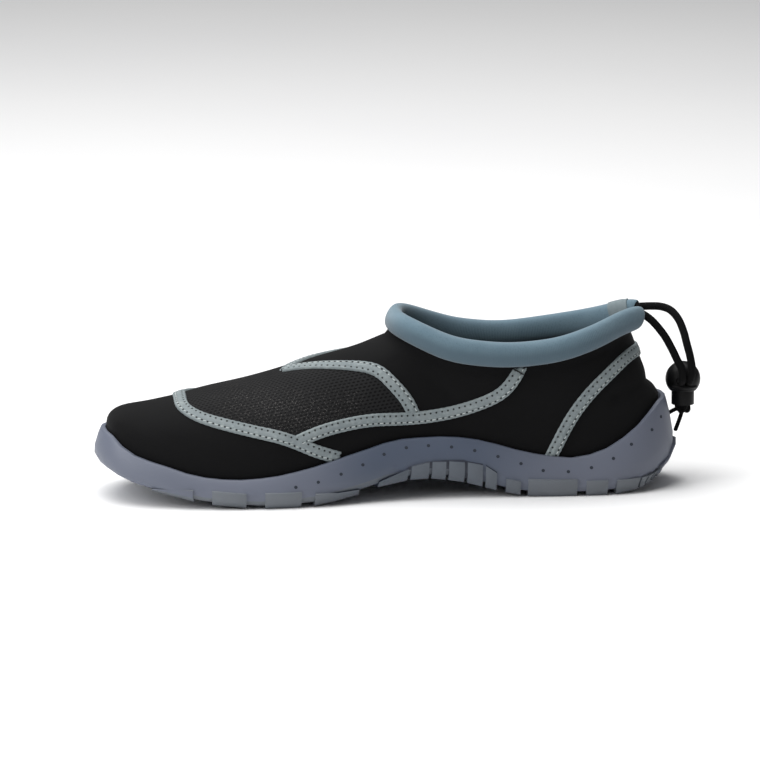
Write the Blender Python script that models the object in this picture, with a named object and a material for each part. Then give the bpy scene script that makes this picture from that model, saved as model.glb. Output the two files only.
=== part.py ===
"""Slip-on water shoe for the right foot. X runs from toe to heel, -Y is the inner side, Z is up."""

import math

import bmesh
import bpy
import numpy as np
from mathutils import Vector

# Driving sizes in metres
LENGTH = 0.282
BALL_WIDTH = 0.100
TOE_SPRING = 0.0165
ARCH_LIFT = 0.010
HEEL_BEVEL = 0.010
RIM_HEIGHT = 0.043
TREAD_DEPTH = 0.002
FLOOR_HEIGHT = 0.011
INSTEP_HEIGHT = 0.076
OPENING_START = 0.002
OPENING_SETBACK = 0.0215
OPENING_WIDTH = 0.060
RIM_WALL = 0.0020
UPPER_WALL = 0.0022
INSOLE_THICKNESS = 0.0030
COLLAR_HEIGHT = 0.0135
COLLAR_THICKNESS = 0.0080
TAPE_WIDTH = 0.0064
TAPE_THICKNESS = 0.0008
LUG_STAND = 0.0012
CORD_DIAMETER = 0.0038
TAIL_DIAMETER = 0.0020
LOCK_DIAMETER = 0.017
BUTTON_DIAMETER = 0.0110
BUTTON_TRAVEL = 0.0020
CLEARANCE = 0.0003
TAPE_CLEARANCE = 0.00045
# The opening runs back from its start to its setback from the heel
OPENING_LENGTH = LENGTH / 2 - OPENING_SETBACK - OPENING_START

# How finely the shells are cut
SIDE_COLUMNS = 36
FRONT_COLUMN = 17
UPPER_ROWS = 9
CUP_ROWS = 2


def table(names, *rows):
    """The named columns of a short table, each a list that runs from toe to heel."""
    return {name: [row[i] for row in rows] for i, name in enumerate(names.split())}


def monotone(xs, ys):
    """A smooth curve through a table's rows that never swings past them."""
    xs = np.array(xs, float)
    ys = np.array(ys, float)
    step = np.diff(xs)
    secant = np.diff(ys) / step
    slope = np.zeros(len(xs))
    slope[0] = secant[0]
    slope[-1] = secant[-1]
    for i in range(1, len(xs) - 1):
        if secant[i - 1] * secant[i] > 0:
            before = 2 * step[i] + step[i - 1]
            after = step[i] + 2 * step[i - 1]
            slope[i] = (before + after) / (before / secant[i - 1] + after / secant[i])

    def at(x):
        x = min(max(x, xs[0]), xs[-1])
        i = min(int(np.searchsorted(xs, x, side="right")) - 1, len(xs) - 2)
        t = (x - xs[i]) / step[i]
        t2 = t * t
        t3 = t2 * t
        return float(
            (2 * t3 - 3 * t2 + 1) * ys[i]
            + (t3 - 2 * t2 + t) * step[i] * slope[i]
            + (3 * t2 - 2 * t3) * ys[i + 1]
            + (t3 - t2) * step[i] * slope[i + 1]
        )

    return at


def curves(rows, key):
    """Each column of a table as a smooth function of its key column."""
    return {name: monotone(rows[key], rows[name]) for name in rows if name != key}


def round_share(along):
    """Runs from 0 to 1 like the angle round a half circle, so that an outline closes round."""
    return math.acos(1 - 2 * min(max(along, 0.0), 1.0)) / math.pi


# Sole outline: where along the length, and each side's reach as a share of the ball width
OUTLINE = table(
    "along inner outer",
    (0.00, -0.07, -0.07),
    (0.02, -0.28, 0.14),
    (0.05, -0.36, 0.24),
    (0.10, -0.425, 0.33),
    (0.20, -0.485, 0.44),
    (0.29, -0.50, 0.49),
    (0.36, -0.48, 0.50),
    (0.45, -0.42, 0.48),
    (0.55, -0.355, 0.435),
    (0.65, -0.34, 0.39),
    (0.75, -0.345, 0.365),
    (0.84, -0.345, 0.355),
    (0.92, -0.31, 0.32),
    (0.97, -0.22, 0.23),
    (1.00, 0.00, 0.00),
)
# Top edge of the sole's rim, as shares of its height at the back of the heel
FEATHER = table(
    "along inner outer",
    (0.00, 0.77, 0.77),
    (0.015, 0.74, 0.74),
    (0.04, 0.61, 0.62),
    (0.08, 0.52, 0.53),
    (0.115, 0.46, 0.48),
    (0.17, 0.36, 0.41),
    (0.235, 0.325, 0.37),
    (0.29, 0.35, 0.36),
    (0.345, 0.41, 0.37),
    (0.39, 0.48, 0.39),
    (0.455, 0.59, 0.42),
    (0.525, 0.69, 0.45),
    (0.59, 0.70, 0.46),
    (0.655, 0.65, 0.45),
    (0.71, 0.545, 0.44),
    (0.77, 0.46, 0.43),
    (0.81, 0.43, 0.43),
    (0.86, 0.49, 0.50),
    (0.91, 0.65, 0.66),
    (0.957, 0.86, 0.86),
    (0.98, 0.99, 0.99),
    (1.00, 1.00, 1.00),
)
# Underside: toe spring, arch and heel bevel, each as a share of its own size
UNDERSIDE = table(
    "along spring arch bevel",
    (0.00, 1.00, 0.00, 0.0),
    (0.014, 0.95, 0.00, 0.0),
    (0.06, 0.62, 0.00, 0.0),
    (0.10, 0.45, 0.00, 0.0),
    (0.155, 0.24, 0.00, 0.0),
    (0.195, 0.12, 0.00, 0.0),
    (0.24, 0.05, 0.00, 0.0),
    (0.28, 0.00, 0.00, 0.0),
    (0.345, 0.00, 0.00, 0.0),
    (0.37, 0.00, 0.06, 0.0),
    (0.45, 0.00, 0.50, 0.0),
    (0.495, 0.00, 0.84, 0.0),
    (0.56, 0.00, 1.00, 0.0),
    (0.62, 0.00, 0.80, 0.0),
    (0.675, 0.00, 0.40, 0.0),
    (0.72, 0.00, 0.12, 0.0),
    (0.76, 0.00, 0.00, 0.0),
    (0.885, 0.00, 0.00, 0.0),
    (0.925, 0.00, 0.00, 0.18),
    (0.965, 0.00, 0.00, 0.60),
    (1.00, 0.00, 0.00, 1.0),
)
# Floor of the cup, as shares of its height under the heel
FLOOR = table(
    "along height",
    (0.00, 2.00),
    (0.04, 1.66),
    (0.10, 1.15),
    (0.18, 0.70),
    (0.28, 0.50),
    (0.38, 0.60),
    (0.50, 1.20),
    (0.57, 1.36),
    (0.66, 1.18),
    (0.76, 1.00),
    (1.00, 1.00),
)
# Side wall: how far its top leans in, its foot tucks under and the bed narrows, in metres,
# and the rim's thickness as a share of the usual one
WALL_LEAN = table(
    "way lean tuck bed rim",
    (0.00, 0.0036, 0.0040, 0.0030, 0.90),
    (0.12, 0.0034, 0.0045, 0.0030, 0.90),
    (0.25, 0.0032, 0.0045, 0.0030, 0.95),
    (0.40, 0.0032, 0.0050, 0.0030, 1.0),
    (0.55, 0.0040, 0.0055, 0.0035, 1.0),
    (0.75, 0.0035, 0.0040, 0.0035, 1.0),
    (0.88, 0.0038, 0.0050, 0.0040, 1.0),
    (0.95, 0.0042, 0.0100, 0.0055, 1.0),
    (1.00, 0.0046, 0.0130, 0.0060, 1.0),
)
WALL_BELLY = 0.36
# Crest of the upper from the toe to the front of the collar
CREST = table(
    "along height sideways",
    (0.00, 0.56, -0.070),
    (0.05, 0.572, -0.072),
    (0.10, 0.585, -0.075),
    (0.15, 0.622, -0.078),
    (0.20, 0.672, -0.078),
    (0.27, 0.725, -0.072),
    (0.32, 0.776, -0.066),
    (0.37, 0.835, -0.058),
    (0.405, 0.868, -0.052),
    (0.465, 0.930, -0.040),
    (0.507, 1.000, -0.030),
)
CREST_START = 0.10
CREST_BUNCHING = 1.6
FRONT_WAY = FRONT_COLUMN / SIDE_COLUMNS
# Top edge of the upper round the opening, from its front to the back of the heel
TOP_EDGE = table(
    "along half inner outer",
    (0.00, 0.00, 1.000, 1.000),
    (0.033, 0.50, 0.985, 0.985),
    (0.148, 0.78, 0.908, 0.905),
    (0.21, 0.87, 0.872, 0.868),
    (0.27, 0.93, 0.851, 0.838),
    (0.475, 1.00, 0.826, 0.803),
    (0.664, 0.98, 0.850, 0.832),
    (0.828, 0.84, 0.920, 0.878),
    (0.90, 0.68, 0.960, 0.908),
    (0.95, 0.49, 0.985, 0.945),
    (1.00, 0.00, 1.000, 1.000),
)
# How each rib of the upper leaves the sole and arrives at the crest or collar
MERIDIAN = table(
    "way flare rise reach settle splay",
    (0.00, 0.10, 0.36, 0.55, 0.00, 0.15),
    (0.12, 0.12, 0.36, 0.48, 0.00, 0.15),
    (0.30, 0.15, 0.40, 0.42, 0.00, 0.15),
    (0.47, 0.12, 0.36, 0.38, 0.00, 0.15),
    (0.53, 0.10, 0.34, 0.34, 0.45, 0.15),
    (0.62, 0.06, 0.33, 0.33, 0.85, 0.15),
    (0.80, 0.00, 0.33, 0.33, 1.00, 0.15),
    (0.90, -0.15, 0.33, 0.33, 1.00, 0.20),
    (0.96, -0.75, 0.28, 0.36, 1.00, 0.32),
    (1.00, -1.20, 0.24, 0.45, 1.00, 0.45),
)

# Lugs along each side, with the arch's ribs between, and how tall each is at its two ends
SIDE_LUGS = table(
    "start end front rear",
    (0.089, 0.160, 0.20, 0.75),
    (0.192, 0.250, 0.90, 0.90),
    (0.282, 0.344, 1.00, 1.00),
    (0.368, 0.446, 0.80, 0.35),
    (0.480, 0.530, 0.40, 0.80),
    (0.535, 0.566, 0.92, 1.10),
    (0.571, 0.595, 1.12, 1.20),
    (0.600, 0.627, 1.24, 1.32),
    (0.632, 0.658, 1.36, 1.42),
    (0.663, 0.682, 1.42, 1.15),
    (0.698, 0.723, 0.86, 0.88),
    (0.736, 0.820, 1.06, 1.06),
    (0.836, 0.873, 0.95, 0.95),
    (0.889, 0.930, 0.92, 0.75),
    (0.934, 0.945, 0.70, 0.70),
    (0.948, 0.958, 0.66, 0.66),
    (0.961, 0.970, 0.66, 0.72),
)
# Raised band that carries the heel's lugs up round its back
BACK_BAND = table(
    "along tall",
    (0.974, 0.85),
    (0.986, 1.25),
    (0.996, 1.80),
    (1.000, 2.05),
)
LUG_HEIGHT = 0.0085
LUG_REACH = 0.0110
LUG_SINK = 0.0010
LUG_STEP = 0.045
LUG_FOOT = 0.45
# Tread pads between the channels: where each starts and ends, and how far its arms sweep
TREAD = table(
    "front rear bow bend",
    (0.075, 0.140, -0.010, 0.040),
    (0.158, 0.224, 0.040, 0.045),
    (0.242, 0.306, 0.045, 0.048),
    (0.324, 0.396, 0.048, 0.050),
    (0.414, 0.486, 0.050, 0.010),
    (0.715, 0.766, 0.000, -0.020),
    (0.780, 0.832, -0.020, -0.020),
    (0.846, 0.900, -0.020, 0.000),
)
TREAD_MARGIN = 0.0180
PAD_STATIONS = 6
# Collar: how far it leans back and how tall it is, from its front to its ends
COLLAR = table(
    "share back tall lift",
    (0.00, 0.55, 0.88, 0.0006),
    (0.12, 0.30, 0.93, 0.0005),
    (0.30, 0.03, 1.00, 0.0002),
    (0.70, 0.05, 0.97, 0.0000),
    (0.85, 0.18, 0.97, 0.0000),
    (1.00, 0.30, 1.00, 0.0000),
)
# The outer end hangs lower, and each end narrows towards its top where the cord comes out
COLLAR_FAR_DROP = 0.0028
COLLAR_DROP_END = 0.85
NEAR_END_RISE = 0.0010
FAR_END_RISE = 0.0030
COLLAR_SIDES = 10
COLLAR_LEAVE = 0.83
COLLAR_OVERHANG = 0.0035
COLLAR_END_GAP = 0.019
COLLAR_END_SIZES = [0.97, 0.80, 0.45]
CORD_BORE_DEPTH = 0.008
LABEL_FIRST = -4
LABEL_THICKNESS = 0.0006
# Cord lock: where its ball hangs behind the heel, where it is cut, and the button's own sizes
LOCK_BEHIND = 0.0043
LOCK_LEVEL = 0.0500
LOCK_CUT = 0.0055
LOCK_RINGS = 6
BUTTON_STANDS = 0.0070
BUTTON_BRIDGE = 0.0010
BUTTON_CHAMFER = 0.0020
BUTTON_ROUND = 0.0008
LOCK_CENTRE = (LENGTH / 2 + LOCK_BEHIND, 0.0, LOCK_LEVEL)
CORD_SPACING = CORD_DIAMETER + CLEARANCE
CORD_BEND = 2 * CORD_DIAMETER
# How far the cord has moved back by the time that it turns down into the knot
CORD_DRIFT = 0.0021
KNOT_DROP = 0.0177
KNOT_WIDTH = 0.0084
KNOT_HEIGHT = 0.0062
KNOT_RINGS = 5
CORD_STEP = 1.25
# The cord's free runs and its two tails: how far behind the heel, how far out and how high
NEAR_STRAND = [
    (-0.0118, -0.0118, 0.0806),
    (-0.0066, -0.0130, 0.0742),
    (-0.0031, -0.0143, 0.0680),
    (-0.0005, -0.0155, 0.0625),
]
FAR_STRAND = [
    (-0.0106, 0.0056, 0.0849),
    (-0.0062, 0.0022, 0.0852),
    (-0.0022, -0.0020, 0.0842),
    (0.0010, -0.0068, 0.0808),
    (0.0031, -0.0109, 0.0755),
    (0.0042, -0.0139, 0.0706),
    (0.0058, -0.0157, 0.0640),
]
NEAR_TAIL = [(0.0052, 0.0145, 0.0255), (0.0020, 0.0125, 0.0212)]
FAR_TAIL = [(0.0018, 0.0190, 0.0300), (-0.0010, 0.0205, 0.0280)]
# Tapes: their centre lines over the upper, by turn round the shoe and height up its face
TAPE_STEP = 0.0060
VAMP_TAPE = table(
    "turn height",
    (0.418, 0.035),
    (0.396, 0.090),
    (0.367, 0.188),
    (0.338, 0.270),
    (0.304, 0.342),
    (0.271, 0.410),
    (0.237, 0.478),
    (0.200, 0.562),
    (0.165, 0.710),
    (0.143, 0.870),
    (0.136, 1.000),
)
SIDE_TAPE = table(
    "turn height",
    (0.375, 0.225),
    (0.405, 0.240),
    (0.438, 0.232),
    (0.473, 0.208),
    (0.508, 0.190),
    (0.542, 0.198),
    (0.573, 0.235),
    (0.606, 0.310),
    (0.642, 0.445),
    (0.683, 0.613),
    (0.713, 0.745),
    (0.730, 0.850),
    (0.738, 0.925),
)
INSTEP_TAPE = table(
    "turn height",
    (0.328, 1.000),
    (0.346, 0.955),
    (0.371, 0.888),
    (0.404, 0.805),
    (0.441, 0.705),
    (0.475, 0.615),
    (0.505, 0.530),
    (0.529, 0.430),
    (0.542, 0.325),
    (0.546, 0.225),
)
HEEL_TAPE = table(
    "turn height",
    (0.752, 0.035),
    (0.775, 0.270),
    (0.812, 0.485),
    (0.855, 0.620),
    (0.900, 0.688),
    (0.950, 0.732),
    (1.000, 0.750),
)

SHAPES = {
    "collar": curves(COLLAR, "share"),
    "outline": {
        side: monotone([round_share(a) for a in OUTLINE["along"]], OUTLINE[side])
        for side in ("inner", "outer")
    },
    "feather": curves(FEATHER, "along"),
    "under": curves(UNDERSIDE, "along"),
    "floor": curves(FLOOR, "along"),
    "wall": curves(WALL_LEAN, "way"),
    "crest": curves(CREST, "along"),
    "edge_half": monotone([round_share(a) for a in TOP_EDGE["along"]], TOP_EDGE["half"]),
    "edge_height": {
        side: monotone(TOP_EDGE["along"], TOP_EDGE[side]) for side in ("inner", "outer")
    },
    "meridian": curves(MERIDIAN, "way"),
}


def along_of(x):
    return (x + LENGTH / 2) / LENGTH


def even_ways(point_at, count=400):
    """Turns an even walk round a half outline into the share that its function takes."""
    shares = np.linspace(0, 1, count)
    points = np.array([point_at(s) for s in shares])
    steps = np.linalg.norm(np.diff(points, axis=0), axis=1)
    walked = np.concatenate([[0], np.cumsum(steps)])
    walked /= walked[-1]
    return lambda way: float(np.interp(way, walked, shares))


def half_outline(side, share):
    along = (1 - math.cos(math.pi * share)) / 2
    return (
        LENGTH * (along - 0.5),
        BALL_WIDTH * SHAPES["outline"][side](share),
    )


OUTLINE_SHARE = {
    side: even_ways(lambda s, side=side: half_outline(side, s)) for side in ("inner", "outer")
}


def side_of(turn):
    """A turn from 0 to 2 goes round the sole: toe, inner side, heel, outer side, toe."""
    turn = turn % 2.0
    if turn <= 1.0:
        return "inner", turn
    return "outer", 2.0 - turn


def outline(turn):
    side, way = side_of(turn)
    return Vector(half_outline(side, OUTLINE_SHARE[side](way)))


def outward(turn):
    step = outline(turn + 0.004) - outline(turn - 0.004)
    return Vector((step.y, -step.x)).normalized()


def inset(turn, distance):
    return outline(turn) - outward(turn) * distance


def feather_height(turn):
    side, _ = side_of(turn)
    return RIM_HEIGHT * SHAPES["feather"][side](along_of(outline(turn).x))


def underside(x):
    shape = SHAPES["under"]
    along = along_of(x)
    spring = TOE_SPRING * shape["spring"](along)
    return spring + ARCH_LIFT * shape["arch"](along) + HEEL_BEVEL * shape["bevel"](along)


def floor_height(x):
    return FLOOR_HEIGHT * SHAPES["floor"]["height"](along_of(x))


def wall_point(turn, height, stand=0.0):
    """A point of the sole's side wall: height 0 is the tread and 1 the top of the rim."""
    _, way = side_of(turn)
    wall = SHAPES["wall"]
    tuck = wall["tuck"](way)
    foot = inset(turn, tuck)
    bottom = underside(foot.x)
    top = feather_height(turn)
    if height < WALL_BELLY:
        lean = tuck * (1 - height / WALL_BELLY) ** 2.2
    else:
        lean = wall["lean"](way) * ((height - WALL_BELLY) / (1 - WALL_BELLY)) ** 1.6
    spot = inset(turn, lean - stand)
    return Vector((spot.x, spot.y, bottom + (top - bottom) * height))


def cup_inset(turn, depth):
    """How far inside the outline the upper's outer face lies, at a share of the cup's depth."""
    _, way = side_of(turn)
    wall = SHAPES["wall"]
    rim = RIM_WALL * wall["rim"](way)
    return wall["lean"](way) + rim + CLEARANCE + wall["bed"](way) * depth**2


def cup_point(turn, depth, step=0.0):
    """The upper inside the cup, from depth 0 at the rim to 1 just above the floor."""
    spot = inset(turn, cup_inset(turn, depth) + step)
    bottom = inset(turn, cup_inset(turn, 1.0) + step)
    low = floor_height(bottom.x) + CLEARANCE
    high = feather_height(turn)
    return Vector((spot.x, spot.y, high + (low - high) * depth))


def half_edge(share):
    along = (1 - math.cos(math.pi * share)) / 2
    return (
        OPENING_START + OPENING_LENGTH * along,
        OPENING_WIDTH / 2 * SHAPES["edge_half"](share),
    )


EDGE_SHARE = even_ways(half_edge)


def crest_point(along):
    shape = SHAPES["crest"]
    return Vector((
        LENGTH * (along - 0.5),
        BALL_WIDTH * shape["sideways"](along),
        INSTEP_HEIGHT * shape["height"](along),
    ))


def crest_end():
    return along_of(OPENING_START)


def crest_slope(along):
    step = 0.004
    ahead = crest_point(min(along + step, crest_end()))
    behind = crest_point(along - step)
    return (ahead.z - behind.z) / (ahead.x - behind.x)


def edge_point(side, way):
    """The upper's top edge round the opening, way 0 at its front and 1 at the heel."""
    share = EDGE_SHARE(way)
    along = (1 - math.cos(math.pi * share)) / 2
    x, half = half_edge(share)
    sideways = BALL_WIDTH * SHAPES["crest"]["sideways"](crest_end()) * (1 - along) ** 2
    sign = -1 if side == "inner" else 1
    height = SHAPES["edge_height"][side](along)
    return Vector((x, sign * half + sideways, INSTEP_HEIGHT * height))


def upper_top(side, way):
    """Where a rib of the upper ends, with the crest's slope there."""
    if way <= FRONT_WAY:
        share = (way / FRONT_WAY) ** CREST_BUNCHING
        along = CREST_START + (crest_end() - CREST_START) * share
        return crest_point(along), crest_slope(along)
    return edge_point(side, (way - FRONT_WAY) / (1 - FRONT_WAY)), crest_slope(crest_end())


def upper_point(turn, height):
    """The upper's outer face: height 0 at the sole's rim, 1 at the crest or the collar."""
    side, way = side_of(turn)
    if height < 0:
        return cup_point(turn, -height)
    base = cup_point(turn, 0.0)
    top, slope = upper_top(side, way)
    shape = SHAPES["meridian"]
    out = outward(turn)
    flare = shape["flare"](way)
    leave = Vector((out.x * flare, out.y * flare, 1.0)).normalized()
    plan = Vector((base.x - top.x, base.y - top.y)).normalized()
    flat = Vector((plan.x, plan.y, slope * min(plan.x, 0.0))).normalized()
    settle = shape["settle"](way)
    splay = shape["splay"](way)
    down = Vector((out.x * splay, out.y * splay, -1.0)).normalized()
    arrive = (flat * (1 - settle) + down * settle).normalized()
    reach = (base - top).length
    first = base + leave * reach * shape["rise"](way)
    second = top + arrive * reach * shape["reach"](way)
    t = height
    s = 1 - t
    return base * s**3 + first * 3 * s * s * t + second * 3 * s * t * t + top * t**3


def material(name, colour, roughness, metallic=0.0):
    made = bpy.data.materials.new(name)
    made.use_nodes = True
    shader = made.node_tree.nodes["Principled BSDF"]
    shader.inputs["Base Color"].default_value = (*colour, 1.0)
    shader.inputs["Roughness"].default_value = roughness
    shader.inputs["Metallic"].default_value = metallic
    return made


def add(name, points, faces, finish, sharp=35.0):
    mesh = bpy.data.meshes.new(name)
    mesh.from_pydata([tuple(p) for p in points], [], faces)
    mesh.materials.append(finish)
    mesh.shade_smooth()
    mesh.set_sharp_from_angle(angle=math.radians(sharp))
    obj = bpy.data.objects.new(name, mesh)
    bpy.context.collection.objects.link(obj)
    return obj


def clear_scene():
    for obj in list(bpy.data.objects):
        bpy.data.objects.remove(obj, do_unlink=True)


def turns_round():
    """The columns round the shoe, as turns: the two sides share the toe's and the heel's."""
    inner = [i / SIDE_COLUMNS for i in range(SIDE_COLUMNS + 1)]
    outer = [2 - i / SIDE_COLUMNS for i in range(SIDE_COLUMNS - 1, 0, -1)]
    return inner + outer


def build_upper(finish):
    """One shell from the floor of the cup to the crest, open at the collar and underneath."""
    turns = turns_round()
    count = len(turns)
    heights = [-1 + i / CUP_ROWS for i in range(CUP_ROWS)]
    heights += [i / UPPER_ROWS for i in range(UPPER_ROWS + 1)]
    points = []
    for height in heights:
        points += [upper_point(turn, height) for turn in turns]
    last = len(heights) - 1

    def at(row, column):
        column %= count
        if row == last and column >= count - FRONT_COLUMN:
            column = count - column
        return row * count + column

    faces = []
    for row in range(last):
        for column in range(count):
            low = at(row, column)
            low_after = at(row, column + 1)
            high = at(row + 1, column)
            high_after = at(row + 1, column + 1)
            for face in ((low, low_after, high_after), (low, high_after, high)):
                if len(set(face)) == 3:
                    faces.append(face)
    used = sorted({i for face in faces for i in face})
    index = {old: new for new, old in enumerate(used)}
    faces = [tuple(index[i] for i in face) for face in faces]
    obj = add("upper", [points[i] for i in used], faces, finish)
    wall = obj.modifiers.new("wall", "SOLIDIFY")
    wall.thickness = UPPER_WALL
    wall.offset = -1
    return obj


def build_insole(finish):
    """A flat footbed on the cup's floor, clear of the upper's wall."""
    turns = turns_round()
    count = len(turns)
    points = []
    for lift in (0.0, INSOLE_THICKNESS):
        for turn in turns:
            spot = inset(turn, cup_inset(turn, 1.0) + UPPER_WALL + 2 * CLEARANCE)
            points.append(Vector((spot.x, spot.y, floor_height(spot.x) + CLEARANCE + lift)))
    faces = []
    for column in range(count):
        after = (column + 1) % count
        faces.append((column, after, count + after, count + column))
    for column in range(SIDE_COLUMNS):
        left = column
        left_after = column + 1
        right = -column % count
        right_after = -(column + 1) % count
        low = tuple(dict.fromkeys((left, right, right_after, left_after)))
        high = tuple(count + i for i in reversed(low))
        if len(low) > 2:
            faces.append(low)
            faces.append(high)
    return add("insole", points, faces, finish)


def way_at(side, along):
    """The even walk round one side that reaches a place along the length."""
    low, high = 0.0, 1.0
    for _ in range(30):
        middle = (low + high) / 2
        x, _ = half_outline(side, OUTLINE_SHARE[side](middle))
        low, high = (middle, high) if along_of(x) < along else (low, middle)
    return (low + high) / 2


def lug_section(turn, tall):
    """The cut through a side lug: proud of the wall, round under the edge and onto the tread."""
    _, way = side_of(turn)
    foot = inset(turn, SHAPES["wall"]["tuck"](way))
    bottom = underside(foot.x)
    share = LUG_HEIGHT * tall / (feather_height(turn) - bottom)
    edge = inset(turn, SHAPES["wall"]["tuck"](way) * LUG_FOOT)
    inner = inset(turn, SHAPES["wall"]["tuck"](way) + LUG_REACH)
    low = underside(inner.x)
    root = inset(turn, SHAPES["wall"]["tuck"](way) + LUG_STAND * 2)
    sunk = TREAD_DEPTH + LUG_SINK
    return [
        wall_point(turn, share, -LUG_SINK * 1.4),
        wall_point(turn, share * 0.93, LUG_STAND),
        wall_point(turn, share * 0.35, LUG_STAND),
        Vector((edge.x, edge.y, underside(edge.x))),
        Vector((inner.x, inner.y, low)),
        Vector((inner.x, inner.y, low + sunk)),
        Vector((root.x, root.y, underside(root.x) + sunk)),
    ]


def loft(points, faces, sections):
    """Adds a closed body through sections with equal numbers of points."""
    first = len(points)
    size = len(sections[0])
    for section in sections:
        points += section
    for i in range(len(sections) - 1):
        for j in range(size):
            k = (j + 1) % size
            here = first + i * size
            faces.append((here + j, here + k, here + size + k, here + size + j))
    faces.append(tuple(first + j for j in reversed(range(size))))
    last = first + (len(sections) - 1) * size
    faces.append(tuple(last + j for j in range(size)))


def face_outwards(obj):
    work = bmesh.new()
    work.from_mesh(obj.data)
    bmesh.ops.recalc_face_normals(work, faces=work.faces)
    work.to_mesh(obj.data)
    work.free()


def side_lugs():
    """The lugs along both sides and the band behind, each a bent block through sections."""
    points = []
    faces = []
    for side in ("inner", "outer"):
        for start, end, front, rear in zip(*(SIDE_LUGS[name] for name in SIDE_LUGS)):
            ways = [way_at(side, start), way_at(side, end)]
            count = max(1, round((ways[1] - ways[0]) / LUG_STEP))
            sections = []
            for i in range(count + 1):
                way = ways[0] + (ways[1] - ways[0]) * i / count
                turn = way if side == "inner" else 2 - way
                sections.append(lug_section(turn, front + (rear - front) * i / count))
            loft(points, faces, sections)
    rows = list(zip(BACK_BAND["along"], BACK_BAND["tall"]))
    sections = [lug_section(way_at("inner", along), tall) for along, tall in rows]
    sections += [lug_section(2 - way_at("outer", along), tall) for along, tall in rows[-2::-1]]
    loft(points, faces, sections)
    return points, faces


def tread_pads():
    """Pads between bent channels, whose undersides follow the sole's own curve."""
    points = []
    faces = []
    for front, rear, bend, bow in zip(*(TREAD[name] for name in ("front", "rear", "bend", "bow"))):
        sections = []
        for i in range(PAD_STATIONS + 1):
            across = 2 * i / PAD_STATIONS - 1
            corners = []
            for along in (front - bow * abs(across), rear - bend * abs(across)):
                margin = TREAD_MARGIN
                left = inset(way_at("inner", along), margin)
                right = inset(2 - way_at("outer", along), margin)
                y = left.y + (right.y - left.y) * (across + 1) / 2
                corners.append((LENGTH * (along - 0.5), y))
            section = []
            for (x, y), lift in (
                (corners[0], 0.0),
                (corners[1], 0.0),
                (corners[1], TREAD_DEPTH + LUG_SINK),
                (corners[0], TREAD_DEPTH + LUG_SINK),
            ):
                section.append(Vector((x, y, underside(x) + lift)))
            sections.append(section)
        loft(points, faces, sections)
    return points, faces


def join(base, name, points, faces):
    """Unites closed blocks with a body, which keeps one outer skin."""
    blocks = add(name, points, faces, base.data.materials[0])
    face_outwards(blocks)
    blocks.hide_render = True
    blocks.display_type = "WIRE"
    union = base.modifiers.new(name, "BOOLEAN")
    union.operation = "UNION"
    union.solver = "EXACT"
    union.object = blocks


def build_outsole(finish):
    """A cup with a rim, side wall and floor, whose tread and side lugs are joined on."""
    turns = turns_round()
    count = len(turns)
    rings = []
    for height in (0.0, 0.12, 0.28, 0.5, 0.75, 0.93):
        rings.append([wall_point(turn, height) for turn in turns])
        if height == 0.0:
            rings[-1] = [p + Vector((0, 0, TREAD_DEPTH)) for p in rings[-1]]
    below = Vector((0, 0, CLEARANCE))
    rings.append([wall_point(turn, 1.0) - below for turn in turns])
    for depth in (0.0, 0.5, 1.0):
        ring = [cup_point(turn, depth, -CLEARANCE) for turn in turns]
        if depth != 0.5:
            ring = [p - below for p in ring]
        rings.append(ring)
    points = [p for ring in rings for p in ring]
    faces = []
    for row in range(len(rings) - 1):
        for column in range(count):
            after = (column + 1) % count
            this = row * count + column
            this_after = row * count + after
            next_after = (row + 1) * count + after
            following = (row + 1) * count + column
            faces.append((this, this_after, following))
            faces.append((this_after, next_after, following))
    top = (len(rings) - 1) * count
    for column in range(SIDE_COLUMNS):
        ring = (column, -column % count, -(column + 1) % count, column + 1)
        low = tuple(dict.fromkeys(ring))
        if len(low) > 2:
            faces.append(low)
            faces.append(tuple(top + i for i in reversed(low)))
    obj = add("outsole", points, faces, finish)
    join(obj, "side lugs", *side_lugs())
    join(obj, "tread pads", *tread_pads())
    return obj


def collar_spot(side, share):
    """The collar's foot: on the upper's edge, then straight back past the heel to its end."""
    if share <= COLLAR_LEAVE:
        return edge_point(side, share)
    start = edge_point(side, COLLAR_LEAVE)
    before = edge_point(side, COLLAR_LEAVE - 0.02)
    sign = -1 if side == "inner" else 1
    back = OPENING_START + OPENING_LENGTH
    end = Vector((back + COLLAR_OVERHANG, sign * COLLAR_END_GAP / 2, start.z))
    heading = (start - before).normalized() * (end - start).length * 0.5
    middle = start + Vector((heading.x, heading.y, 0))
    t = (share - COLLAR_LEAVE) / (1 - COLLAR_LEAVE)
    spot = start * (1 - t) ** 2 + middle * 2 * t * (1 - t) + end * t**2
    edge_along = min(1.0, (spot.x - OPENING_START) / OPENING_LENGTH)
    spot.z = INSTEP_HEIGHT * SHAPES["edge_height"][side](edge_along)
    if side == "outer":
        spot.z -= COLLAR_FAR_DROP * min(t, COLLAR_DROP_END) ** 2
    return spot


def collar_stations():
    """The collar's sections from the inner end round the front to the outer end."""
    steps = SIDE_COLUMNS - FRONT_COLUMN
    shares = [i / steps for i in range(steps + 1) if i / steps <= COLLAR_LEAVE]
    tail = [COLLAR_LEAVE + (1 - COLLAR_LEAVE) * t for t in (0.3, 0.6, 0.85, 0.96, 1.0)]
    shares += tail
    sizes = [1.0] * (len(shares) - len(COLLAR_END_SIZES)) + COLLAR_END_SIZES
    inner = [("inner", share, size) for share, size in zip(shares, sizes)]
    outer = [("outer", share, size) for share, size in zip(shares, sizes)]
    return inner[::-1] + outer[1:]


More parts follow.
